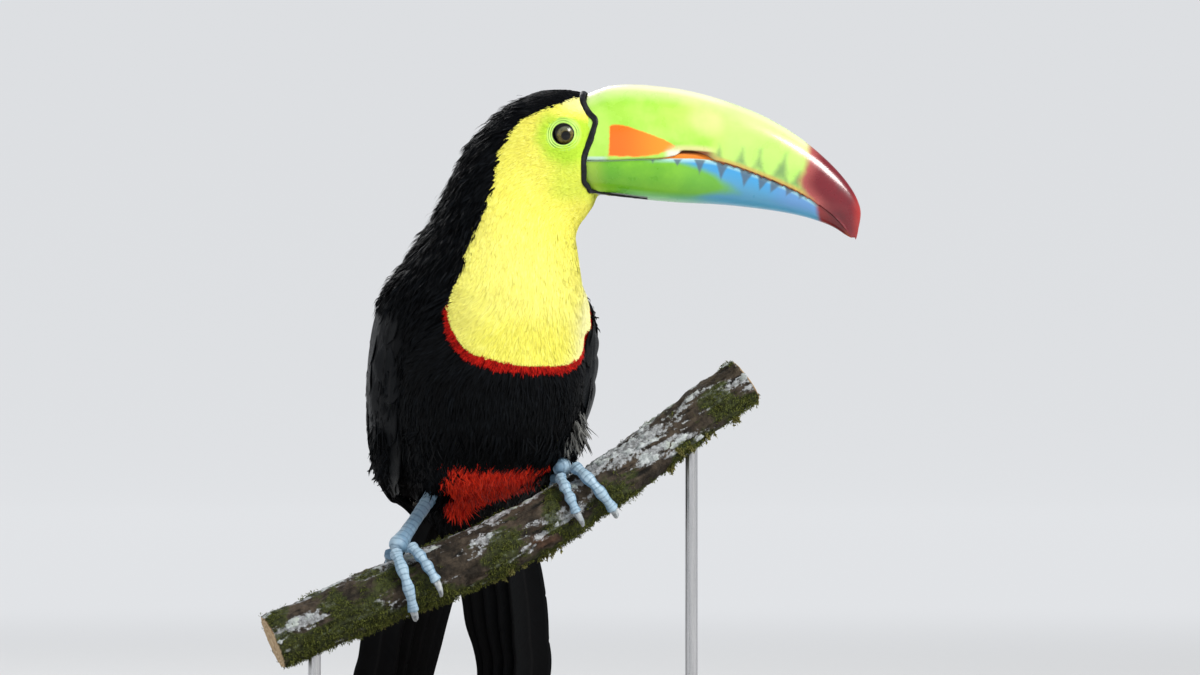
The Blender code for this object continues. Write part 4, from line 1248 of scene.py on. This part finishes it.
def make_tail(label, side, material):
    """One fan of tail feathers, placed by rays through the CAD fan."""
    tree = tree_of(*solid("tail_" + label))
    both = np.concatenate([solid("tail_right")[0], solid("tail_left")[0]])
    height = both[:, 2]
    low, high = both[height < np.quantile(height, 0.25)], both[height > np.quantile(height, 0.75)]
    down = low.mean(axis=0) - high.mean(axis=0)
    down = unit(down - (down @ body.left) * body.left)
    lift = unit(np.cross(body.left, down))
    lift *= np.sign(lift[1])
    centre = (middle("tail_right") + middle("tail_left")) / 2
    origin = centre + ((high - centre) @ down).min() * down

    def struck(reach, off):
        """How high the fan's upper face is at a reach down the tail and off its middle, or None."""
        found = hit(tree, origin + reach * down + off * side * body.left + 40 * lift, -lift, 80)
        return None if found is None else (np.array(found) - origin) @ lift

    offs = side * np.arange(-70.0, 70.0, 1.5)
    rows = []
    for reach in np.arange(20.0, 112.0, 8.0):
        hits = [off for off in offs if struck(reach, off) is not None]
        if hits:
            rows.append((reach, min(hits), max(hits)))
    reaches, inner, outer = np.array(rows).T
    vanes = Vanes()
    for k in range(TAIL_FEATHERS):
        middle_off = inner + (outer - inner) * (0.12 + 0.76 * (k + 0.5) / TAIL_FEATHERS)
        slope = np.polyfit(reaches[-4:], middle_off[-4:], 1)

        def off_at(reach):
            inside = reach < reaches[-1]
            return float(np.interp(reach, reaches, middle_off) if inside else np.polyval(slope, reach))

        length = max(r for r in np.arange(60.0, 170.0, 1.5) if struck(r, off_at(r)) is not None) - 1.0
        stops = np.linspace(TAIL_ROOTS, length, 14)
        drawn = smooth(stops, (TAIL_ROOTS, 14.0), (0.40, 1.0))
        sunk = smooth(stops, (TAIL_ROOTS, 22.0), (6.0, 0.0))  # under the tail coverts at their roots
        lifts = np.array([struck(r, off_at(r)) for r in np.clip(stops, 20.0, length - 4)], float)
        known = ~np.isnan(lifts)
        lifts = blurred(np.interp(stops, stops[known], lifts[known]), 1.5) + (0.2 - 0.42 * k) - sunk
        beside = np.array([off_at(r) for r in stops]) * drawn * side
        axis = origin + np.outer(stops, down) + np.outer(beside, body.left) + np.outer(lifts, lift)
        normal = unit(lift - side * 0.07 * (k - 1) * body.left)
        vanes.add(axis, np.repeat(normal[None], 14, axis=0), TAIL_WIDTHS,
                  unwrapped(3.3 + 0.1 * k, 150.0 * side), 110, 1.1, 0.07, 0.03, (0.3, 0.8),
                  0.18 * side * (-1 if k else 0))
    vanes.piece("tail_feathers_" + label, material, ("tail_" + label,))


def blades(roots, ways, lengths, width, droop, count, spread, stray):
    """Free thin leaves in clumps: count of them round each root, along its way and drooping."""
    shape = (len(roots), count)
    root = roots[:, None] + draw.normal(0, spread, (*shape, 3))
    way = unit(ways[:, None] + draw.normal(0, stray, (*shape, 3)))
    long = lengths[:, None] * draw.uniform(0.55, 1.1, shape)
    side = unit(np.cross(way, draw.normal(0, 1, (*shape, 3))))
    rows = []
    for at, wide in ((0.0, 0.6), (0.4, 1.0), (0.75, 0.7), (1.0, 0.0)):
        centre = root + way * (long * at)[..., None] - UP * (droop * long * at**2)[..., None]
        if wide:
            rows += [centre - side * width * wide / 2, centre + side * width * wide / 2]
    tint = np.clip(0.5 + 0.25 * draw.normal(0, 1, (len(roots), 1)) + 0.12 * draw.normal(0, 1, shape), 0, 1)
    along = np.array((0.0, 0.0, 0.4, 0.4, 0.75, 0.75, 1.0))
    values = columns((*shape, LEAF_POINTS), along, tint[..., None], 0.0)
    points = np.stack([*rows, centre], axis=2).reshape(-1, 3)
    return points, leaf_faces(len(roots) * count), values.reshape(-1, 3)


THIGH_TUFTS, GREY_TUFTS, THIGH_BLADES = 190, 18, 8


def make_thighs(label, skin):
    """Loose feathers hanging over the top of a shank, and a grey tuft at the left one's outer side."""
    top, low = shank_ends(label)
    down = unit(low - top)
    one = unit(np.cross(down, body.head_ahead))
    radial = ways_round(draw.uniform(0, 2 * math.pi, THIGH_TUFTS), one, np.cross(down, one))
    above = draw.uniform(-4.0, 9.0, THIGH_TUFTS)
    roots = top - above[:, None] * down + radial * (4.3 + 0.25 * np.maximum(above, 0))[:, None]
    ways = unit(down - 0.15 * UP - 0.10 * radial)
    lengths = draw.uniform(7.0, 11.0, THIGH_TUFTS)
    grey = np.zeros(THIGH_TUFTS)
    if label == "left":
        near = np.flatnonzero((np.abs(skin.place - 2.76) < 0.10) & (np.abs(skin.turn - 50) < 7))
        chosen = draw.choice(near, GREY_TUFTS)
        out = skin.normals[chosen]
        roots = np.concatenate([roots, skin.outer[chosen] + 0.6 * out])
        ways = np.concatenate([ways, unit(skin.flow[chosen] + 0.25 * out + 0.25 * body.left)])
        lengths = np.concatenate([lengths, draw.uniform(6.5, 10.0, GREY_TUFTS)])
        grey = np.concatenate([grey, draw.uniform(0.06, 0.28, GREY_TUFTS)])
    points, faces, strand = blades(roots, ways, lengths, 0.75, 0.05, THIGH_BLADES, 0.7, 0.16)
    place = body.place(roots)
    uv = unwrapped(place, body.turn(roots, place))
    uv, grey = (np.repeat(value, THIGH_BLADES * LEAF_POINTS, axis=0) for value in (uv, grey))
    values = {"mark": columns(grey.shape, 0.0, 0.0, grey), "strand": strand}
    add_piece("coat_thigh_" + label, points, faces, bpy.data.materials["plumage"], BLACK, (), values,
              uv + (strand[:, [1, 0]] - 0.5) * PATCH)


# ---------------------------------------------------------------- face edge and eyes

EDGE_WIDE, EDGE_HIGH = 3.0, 0.75  # the raised black line where the feathers meet the bill
GAZE_AHEAD, GAZE_DOWN = 0.22, 0.13
PUPIL, IRIS, LID_RIM, LID_CREST, LID_END = 2.1, 4.45, 4.95, 5.40, 9.6


def make_face_edge(skin, shape):
    """A low ridge from one jaw corner over the culmen to the other."""
    line = FACE_LINE[JAW_CORNER - 1 :: -1]
    paths = []
    for _, side in SIDES:
        path, height = [], 358.0
        for turn in np.radians(np.arange(90.0, -85.0, -3.0)):
            way = math.cos(turn) * side * body.head_left + math.sin(turn) * UP
            for _ in range(6):
                start = body.head_world(float(smooth(height, line[:, 1], line[:, 0])), 336.0, 0.0)
                found = hit(skin.outer_tree, start, way)
                height = found.z
            path.append(found)
            if height < line[0, 1]:
                break
        jaw = 311.4, shape.edge("lower", 9.0) + 0.9, shape.edge("lower", 30.0) + 0.45
        for ahead in np.linspace(5.0, 30.0, 18):
            start = body.head_world(ahead, smooth(ahead, (5, 9, 30), jaw), 60.0 * side)
            path.append(hit(skin.outer_tree, start, -side * body.head_left) or path[-1])
        paths.append(path)
    path = np.array(paths[0][::-1] + paths[1][1:], float)
    run = run_along(path)
    along = np.linspace(0, run[-1], 240)
    path = blurred(smooth(along, run, path), 1.8)
    normals = np.array([skin.outer_tree.find_nearest(Vector(p))[1] for p in path], float)
    normals = unit(blurred(normals, 3))
    sides = unit(np.cross(unit(np.gradient(path, axis=0)), normals))
    ending = np.minimum(along, np.linspace(run[-1], 0, 240))
    wide = EDGE_WIDE / 2 * (1 + 0.16 * lumps(path, 4.0, 5.0))
    wide *= smooth(ending, (0, 14, 26, 40), (0.15, 0.5, 0.75, 1.0))
    turns = full_turn(20)
    rise = np.where(np.sin(turns) > 0, EDGE_HIGH * np.sin(turns), 0.5 * np.sin(turns))
    rise = rise[None] * smooth(ending, (0, 30), (0.5, 1.0))[:, None]
    flat = sides[:, None] * (wide[:, None] * np.cos(turns)[None])[..., None]
    points, faces = wrapped(path[:, None] + flat + normals[:, None] * rise[..., None])
    points += 0.12 * lumps(points, 1.6, 6.0)[:, None] * point_normals(points, faces)
    paint = Paint("face_edge")
    grain = paint.noise(500.0, 4.0)
    paint.bump(grain, 0.15, 0.6)
    colour = paint.layers((0.002, 0.0022, 0.003), ((0.012, 0.014, 0.022), (grain, 0.35, 0.8)))
    add_piece("face_edge", points, faces, paint.finish(colour, 0.45, Specular_IOR_Level=0.25), BLACK)


def eye_material():
    paint = Paint("eye")
    out, one, two = paint.parts("iris")
    spokes = paint.node("ShaderNodeCombineXYZ", one * 8.0, two * 8.0, out * 0.7)
    streaks = paint.noise(1.0, 4.0, place=spokes)
    paint.bump(streaks, 0.02, 0.4)
    iris = paint.layers(
        (0.050, 0.038, 0.006),
        ((0.17, 0.135, 0.025), (streaks, 0.3, 0.7)),
        # painted reflection: the upper part of the iris blue-grey, a painted reflection of the sky
        ((0.09, 0.12, 0.12), (two, 0.05, 0.65, 0.0, 0.6)),
        ((0.05, 0.04, 0.012), (out, PUPIL + 0.6, PUPIL + 0.1)),
    )
    colour = paint.layers((0.0008, 0.0008, 0.0009), (iris, (out, PUPIL - 0.08, PUPIL + 0.12)),
                          ((0.006, 0.005, 0.005), (out, IRIS - 0.60, IRIS + 0.15)))
    return paint.finish(colour, 0.3, Coat_Weight=0.6, Coat_Roughness=0.01, Specular_IOR_Level=0.05)


def lid_material():
    paint = Paint("eyelid")
    out, fold, _ = paint.parts("lid")
    colour = paint.layers(
        (0.42, 0.70, 0.10),
        ((0.52, 0.78, 0.16), paint.noise(260.0, 3.0)),
        ((0.46, 0.70, 0.06), (out, 6.2, 9.0)),
        # painted shade: darker olive in the troughs of the lid's folds
        ((0.13, 0.26, 0.04), (fold, 0.1, -0.9), 0.65),
        ((0.020, 0.022, 0.014), (out, LID_RIM + 0.42, LID_RIM + 0.18)),
    )
    paint.bump(paint.noise(900.0, 3.0), 0.08, 0.6)
    return paint.finish(colour, 0.45, Specular_IOR_Level=0.35, Subsurface_Weight=0.1,
                        Subsurface_Scale=0.001)


def make_eye(label, side, skin, materials):
    """A glossy ball with its iris, in a ring of bare, wrinkled lids."""
    centre = middle("eye_" + label)
    low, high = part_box("eye_" + label)
    radius = (high[2] - low[2]) / 2 / MM
    outward = side * body.head_left
    gaze = unit(outward + GAZE_AHEAD * body.head_ahead - GAZE_DOWN * UP)
    ahead = unit(np.cross(gaze, UP))
    above = np.cross(ahead, gaze)
    above *= np.sign(above[2])
    lean = np.radians(np.linspace(1.0, 118.0, 48))[:, None, None]
    swell = radius * (1 + 0.03 * np.exp(-((lean / 0.6) ** 2)))
    flat = ways_round(full_turn(72), ahead, above)
    points, faces = wrapped(centre + swell * (np.cos(lean) * gaze + np.sin(lean) * flat[None]))
    off = points - centre
    along = off @ gaze
    out = np.where(along > 0, np.linalg.norm(off - along[:, None] * gaze, axis=1), radius)
    iris = np.stack([out, off @ ahead / radius, off @ above / radius], axis=1)
    add_piece("eyeball_" + label, points, faces, materials[0], "eye", ("eye_" + label,), {"iris": iris})

    turns = full_turn(110)
    radii = np.concatenate([np.linspace(LID_RIM, LID_CREST, 5), np.linspace(LID_CREST, LID_END, 34)[1:]])
    flat = ways_round(turns, body.head_ahead, UP)
    ball = np.sqrt(radius**2 - np.minimum(radii, LID_CREST) ** 2)
    crest = ease(LID_RIM - 0.1, LID_CREST, radii) * 0.55 + 0.04
    starts = centre + radii[None, :, None] * flat[:, None] + 40 * outward
    ground = [[hit(skin.whole_tree, start, -outward) for start in row] for row in starts]
    ground = (np.array(ground) - centre) @ outward
    share = ease(LID_CREST + 0.2, LID_END - 0.6, radii)
    phase = 2 * math.pi * (radii[None] - LID_CREST) / 1.1 + 0.7 * np.sin(3 * turns + side)[:, None]
    window = ease(LID_CREST, 5.7, radii) * (1 - ease(7.4, 8.8, radii))
    fold = np.sin(phase) * window * (0.75 + 0.25 * np.sin(5 * turns)[:, None])
    height = (ball + crest) * (1 - share) + ground * share
    height = np.maximum(height, ground + 0.22) + 0.19 * fold - 0.42 * ease(LID_END - 1.4, LID_END, radii)
    front = centre + radii[None, :, None] * flat[:, None] + height[..., None] * outward
    points, faces = wrapped(np.concatenate([front, front[:, ::-1] - 0.9 * outward], axis=1), looped=True)
    values = columns(fold.shape, radii, fold, 0.0)
    values = np.concatenate([values, values[:, ::-1]], axis=1).reshape(-1, 3)
    add_piece("eyelid_" + label, points, faces, materials[1], YELLOW, (), {"lid": values})


# ---------------------------------------------------------------- feet

FOOT_VOXEL, FOOT_SWELL, TOE_SCUTE, SHANK_SCUTE = 0.42, 0.8, 2.3, 3.4
ANKLE = 4.7  # the ball that the toes spring from
KNUCKLES, KNUCKLE_RISE = 3.0, 0.24  # how many swellings a toe has, and their height


def centre_line(name, count=15):
    """Points along the middle of a long solid, from end to end."""
    points, faces = solid(name)
    spots = np.concatenate([points, points[faces].mean(axis=1)])
    centre = spots.mean(axis=0)
    along = (spots - centre) @ np.linalg.svd(points - centre)[2][0]
    knots = np.linspace(along.min(), along.max(), count)
    wide = 0.10 * (knots[-1] - knots[0])
    weights = np.exp(-(((knots[:, None] - along[None]) / wide) ** 2))
    line = weights @ spots / weights.sum(axis=1, keepdims=True)
    return smooth(np.linspace(0, count - 1, 80), np.arange(count), line)


def shank_ends(label):
    """The shank's upper and lower end."""
    line = centre_line("shank_" + label)
    return (line[0], line[-1]) if line[0][2] > line[-1][2] else (line[-1], line[0])


def nearest_on(line, points):
    """Which point of a line is nearest to each point, and how far it is."""
    far = np.linalg.norm(points[:, None] - line[None], axis=2)
    best = far.argmin(axis=1)
    return best, far[np.arange(len(points)), best]


def foot_material():
    paint = Paint("foot")
    groove, back, _ = paint.parts("scute")
    mottle, fine = paint.noise(150.0, 3.0), paint.noise(1300.0, 3.0)
    paint.bump(fine + mottle, 0.12, 0.5)
    colour = paint.layers(
        (0.12, 0.24, 0.37),
        ((0.25, 0.38, 0.50), (mottle, 0.3, 0.7)),
        ((0.42, 0.55, 0.64), (back, 0.3, 0.95), 0.6),
        ((0.035, 0.085, 0.15), groove, 0.75),
        ((0.20, 0.23, 0.22), (back, -0.1, -0.7), 0.6),
    )
    return paint.finish(colour, 0.46, Specular_IOR_Level=0.4)


def horn_material():
    paint = Paint("claw_horn")
    grain = paint.noise(500.0, 4.0, stretch=(1.0, 1.0, 0.25))
    paint.bump(grain, 0.08, 0.6)
    colour = paint.layers((0.20, 0.23, 0.26), ((0.46, 0.49, 0.50), (grain, 0.3, 0.75)))
    return paint.finish(colour, 0.3, Coat_Weight=0.2, Coat_Roughness=0.2)


def make_foot(label, side, perch_line, materials):
    """Shank and toes in one scaly skin, and the four claws."""
    toes, claws = (["%s_%s_%d" % (kind, label, k) for k in range(1, 5)] for kind in ("toe", "claw"))
    names = ["shank_" + label, *toes]
    top, low = shank_ends(label)
    around = ways_round(full_turn(18), *np.eye(3)[:2])
    ankle = low + 0.8 * unit(top - low)
    leans = np.linspace(-1.4, 1.4, 11)
    ball = wrapped(np.array([ankle + ANKLE * (math.cos(a) * around + math.sin(a) * UP) for a in leans]))
    points, faces = remeshed([solid(name) for name in names] + [ball], FOOT_VOXEL, FOOT_SWELL, 45)
    normals = point_normals(points, faces)
    points = points - FOOT_SWELL * 0.8 * normals
    lines = [centre_line(name) for name in names]
    found = [nearest_on(line, points) for line in lines]
    nearest = np.stack([far for _, far in found]).argmin(axis=0)
    plate, bulge = np.ones(len(points)), np.zeros(len(points))
    for k, (line, (best, _)) in enumerate(zip(lines, found)):
        run = run_along(line)
        mine = nearest == k
        way = unit(np.gradient(line, axis=0))[best]
        along = run[best] + dot(points - line[best], way)
        slanted = along / (TOE_SCUTE if k else SHANK_SCUTE)
        slanted = slanted + 0.16 * lumps(points, 3.0, k) + 0.30 * lumps(points, 9.0, k + 5)
        plate[mine] = (1 - np.abs(2 * (slanted % 1.0) - 1) ** 6)[mine]
        if k:
            share = np.clip(along / run[-1], 0, 1)
            bulge[mine] = (KNUCKLE_RISE * np.cos(2 * math.pi * KNUCKLES * share))[mine]
    away = unit(points - perch_line[nearest_on(perch_line, points)[0]])
    back = np.where(nearest == 0, 0.6 + 0.4 * normals @ body.left * side, dot(normals, away))
    top = ease(-0.25, 0.35, back)
    uneven = 0.10 * lumps(points, 1.3, 3.0) + 0.16 * lumps(points, 3.4, 4.0)
    points = points + normals * (0.16 * (plate - 1) * top + uneven + bulge - 0.1)[:, None]
    scute = columns(top.shape, (1 - plate) * top, back, 0.0)
    add_piece("foot_" + label, points, faces, materials[0], "foot_blue", names, {"scute": scute})
    points, faces = remeshed([solid(name) for name in claws], 0.3, 0.08, 12)
    add_piece("claws_" + label, points, faces, materials[1], "claw", claws)


# ---------------------------------------------------------------- perch

BARK_VOXEL, BARK_ROUNDS = 0.82, 24
LICHEN_FLAKES, MOSS_TUFTS, FRINGES, SPRIGS = 130, 4800, 15, 8


def bark_material():
    paint = Paint("bark")
    relief, lichen, moss = paint.parts("growth")
    ring, cut, _ = paint.parts("cut")
    coarse, fine = paint.noise(90.0, 5.0, 0.7), paint.noise(420.0, 5.0, 0.7)
    paint.bump(coarse + fine * 0.5, 1.6, 1.0)
    pale = paint.layers((0.16, 0.165, 0.17), ((0.46, 0.48, 0.50), (fine, 0.35, 0.7)))
    green = paint.layers((0.008, 0.012, 0.003), ((0.055, 0.070, 0.015), (fine, 0.3, 0.7)))
    rings = paint.math("SINE", ring * 5.6 + coarse * 3.0)
    wood = paint.layers((0.36, 0.24, 0.13), ((0.56, 0.42, 0.26), (rings, -0.6, 0.8)),
                        ((0.20, 0.12, 0.06), (fine, 0.55, 0.75), 0.5))
    colour = paint.layers(
        (0.012, 0.009, 0.006),
        ((0.085, 0.064, 0.045), (coarse, 0.32, 0.72)),
        ((0.13, 0.055, 0.03), (paint.noise(38.0, 2.0), 0.60, 0.74), 0.5),
        # painted shade: near black in the deep furrows and cracks
        ((0.005, 0.004, 0.003), (relief, 0.0, -0.6)),
        (pale, (lichen + (fine - 0.5) * 1.5, 0.42, 0.66), 0.9),
        (green, (moss + (coarse - 0.5) * 1.2, 0.40, 0.62), 0.85),
        (wood, cut),
    )
    return paint.finish(colour, 0.85, Specular_IOR_Level=0.25)


def lichen_material():
    paint = Paint("lichen")
    crust, grain = paint.noise(300.0, 5.0, 0.7), paint.noise(60.0, 3.0)
    paint.bump(crust, 0.5, 0.8)
    colour = paint.layers((0.20, 0.22, 0.22), ((0.52, 0.55, 0.56), (crust, 0.3, 0.7)),
                          ((0.28, 0.33, 0.22), (grain, 0.5, 0.7), 0.6))
    return paint.finish(colour, 0.9, Specular_IOR_Level=0.2)


def leafy_piece(name, dark, light, tip, *parts):
    """Moss from one or more lots of blades, darkest at their roots and paler at their tips: partly the
    moss's own colour, partly painted shade and highlight.
    """
    paint = Paint(name)
    along, tint, _ = paint.parts("blade")
    # dark roots and pale tips: partly the moss's own colour, partly painted shade among the tufts and
    # painted highlight on their tips
    colour = paint.layers(dark, (light, tint), (tip, along, 0.6))
    values = np.concatenate([blade for _, _, blade in parts])
    points, faces = gathered([part[:2] for part in parts])
    add_piece("perch_" + name, points, faces, paint.finish(colour, 0.8, Specular_IOR_Level=0.2), "bark",
              values={"blade": values})


def make_perch():
    """The cut branch: furrowed bark, lichen crusts, moss on its sides and fringes under it."""
    line = centre_line("perch", 21)
    axis = unit(line[-1] - line[0])
    points, faces = remeshed([solid("perch")], BARK_VOXEL, 0.0, BARK_ROUNDS)
    normals = point_normals(points, faces)
    _, far = nearest_on(line, points)
    along = (points - line[0]) @ axis
    end = np.minimum(along - along.min(), along.max() - along)
    cut = ease(0.55, 0.85, np.abs(normals @ axis)) * (end < 3.0)
    squeezed = points - np.outer(points @ axis, axis) * 0.78
    furrows = 0.45 - 1.7 * np.abs(lumps(squeezed, 3.2, 1.0))
    cracks = 0.40 - 1.6 * np.abs(lumps(squeezed, 1.5, 8.0))
    swells, fine = lumps(points, 17.0, 2.0), lumps(points, 1.6, 3.0)
    relief = 0.70 * furrows + 0.35 * cracks + 0.30 * fine
    rise = 1.35 * relief + 0.9 * swells + 0.6 * lumps(points, 5.0, 9.0) - 0.75
    points = points + normals * (rise * (1 - cut) + 0.15 * fine * cut)[:, None]
    normals = point_normals(points, faces)
    patches = lumps(squeezed, 7.0, 4.0) + 0.6 * lumps(squeezed, 2.6, 5.0)
    lichen = np.clip(0.20 + 0.80 * patches + 0.34 * normals[:, 2] - 0.08 * normals[:, 1], 0, 1) * (1 - cut)
    mossy = lumps(points, 19.0, 6.0) + 0.4 * lumps(points, 7.0, 7.0)
    moss = np.clip(0.55 + 0.9 * mossy - 0.25 * normals[:, 2], 0, 1) * (1 - cut)
    values = {"growth": np.stack([relief, lichen, moss], axis=1), "cut": columns(cut.shape, far, cut, 0.0)}
    add_piece("perch_bark", points, faces, bark_material(), "bark", ("perch",), values)
    bark = tree_of(points, faces)

    def spread_over(weight, count):
        chosen = faces[scattered(points, faces, weight[faces].mean(axis=1), lambda area: count)]
        return points[chosen].mean(axis=1), unit(normals[chosen].mean(axis=1))

    def laid(spots):
        return np.array([bark.find_nearest(Vector(p))[0] for p in spots], float)

    turns, flakes = full_turn(14), []
    for root, normal in zip(*spread_over(ease(0.55, 0.85, lichen), LICHEN_FLAKES)):
        one = unit(np.cross(normal, axis))
        reach = draw.uniform(0.7, 2.1) * (1 + 0.26 * draw.normal(0, 1, len(turns)))
        flat = ways_round(turns, one, np.cross(normal, one) * 1.5)
        rings = [laid(root + flat * (reach * share)[:, None]) + high * normal
                 for share, high in ((0.12, 0.50), (0.55, 0.42), (0.85, 0.30), (1.0, -0.1))]
        flakes.append(wrapped(np.array([*rings, rings[-1] - 0.5 * normal])))
    flakes, flake_faces = gathered(flakes)
    flakes += 0.10 * np.stack([lumps(flakes, 0.8, k) for k in range(3)], axis=1)
    add_piece("perch_lichen", flakes, flake_faces, lichen_material(), "bark")

    roots, up = spread_over(ease(0.45, 0.78, moss), MOSS_TUFTS)
    ways, longs = unit(up + 0.35 * draw.normal(0, 1, up.shape)), draw.uniform(0.6, 1.7, len(roots))
    tufts = blades(roots, ways, longs, 0.36, 0.25, 8, 0.6, 0.8)
    leafy_piece("moss", (0.008, 0.012, 0.002), (0.052, 0.070, 0.012), (0.20, 0.21, 0.04), tufts)
    roots, up = spread_over(ease(0.35, 0.7, moss) * ease(-0.3, -0.8, normals[:, 2]), FRINGES)
    shifts = draw.normal(0, 2.6, (SPRIGS * len(roots), 3)) * np.abs(axis)
    many = laid(np.repeat(roots, SPRIGS, axis=0) + shifts)
    ways = unit(np.repeat(0.4 * up - 0.5 * UP, SPRIGS, axis=0) + draw.normal(0, 0.35, many.shape))
    longs = draw.uniform(1.5, 6.5, len(many))
    stems = blades(many, ways, longs, 0.4, 0.0, 1, 0.0, 0.0)
    shares = longs[:, None] * draw.uniform(0.1, 0.62, (len(many), 12))
    spots = (many[:, None] + ways[:, None] * shares[..., None]).reshape(-1, 3)
    ways, longs = unit(draw.normal(0, 1, spots.shape)), draw.uniform(0.6, 1.5, len(spots))
    crumbs = blades(spots, ways, longs, 0.75, 0.15, 3, 0.12, 0.9)
    leafy_piece("fringes", (0.035, 0.035, 0.010), (0.11, 0.12, 0.025), (0.34, 0.30, 0.10), stems, crumbs)
    return line


# ---------------------------------------------------------------- stand

COLLAR_PROFILE = ((3.1, 0.0), (8.0, 0.0), (8.4, 0.5), (8.4, 1.6), (7.6, 2.4), (5.4, 3.0), (4.6, 4.2),
                  (4.5, 6.6), (4.1, 7.1), (3.1, 7.2))


def make_stand():
    """A varnished board and two brushed rods, with turned collars where the rods are let in."""
    paint = Paint("stand_wood")
    grain = paint.noise(26.0, 5.0, 0.6, stretch=(0.10, 1.0, 1.0))
    pores = paint.noise(420.0, 3.0, 0.6, stretch=(0.06, 1.0, 1.0))
    paint.bump(pores + grain * 0.4, 0.10, 0.5)
    colour = paint.layers((0.055, 0.026, 0.012),
                          ((0.135, 0.070, 0.034), (paint.math("SINE", grain * 34.0), -0.9, 0.9)),
                          ((0.022, 0.010, 0.005), (pores, 0.58, 0.70), 0.7))
    wood = paint.finish(colour, 0.42, Coat_Weight=0.4, Coat_Roughness=0.18)
    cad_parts["stand_base"].data.materials[0] = wood
    paint = Paint("stand_steel")
    brushed = paint.noise(900.0, 2.0, 0.5, stretch=(1.0, 1.0, 0.02))
    paint.bump(brushed, 0.04, 0.5)
    colour = paint.layers((0.42, 0.42, 0.43), ((0.60, 0.60, 0.61), brushed))
    steel = paint.finish(colour, paint.span(brushed, 0.3, 0.7, 0.24, 0.38), Metallic=1.0)
    around = ways_round(full_turn(56), *np.eye(3)[:2])
    for k in (1, 2):
        name = "stand_rod_%d" % k
        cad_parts[name].data.materials[0] = steel
        low, high = (np.array(corner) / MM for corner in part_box(name))
        foot = np.array([(low[0] + high[0]) / 2, (low[1] + high[1]) / 2, low[2] - 0.3])
        rings = np.array([foot + r * around + h * UP for r, h in COLLAR_PROFILE])
        points, faces = wrapped(rings, looped=True)
        add_piece("stand_collar_%d" % k, points, faces, steel, "stand_steel")


make_stage()
bill = make_bill()
skin = make_body()
make_face_edge(skin, bill)
eye_materials = eye_material(), lid_material()
for label, side in SIDES:
    make_eye(label, side, skin, eye_materials)
vane = vane_material()
for label, side in SIDES:
    make_wing(label, side, skin, vane)
    make_tail(label, side, vane)
perch_line = make_perch()
foot_materials = foot_material(), horn_material()
for label, side in SIDES:
    make_foot(label, side, perch_line, foot_materials)
    make_thighs(label, skin)
make_stand()
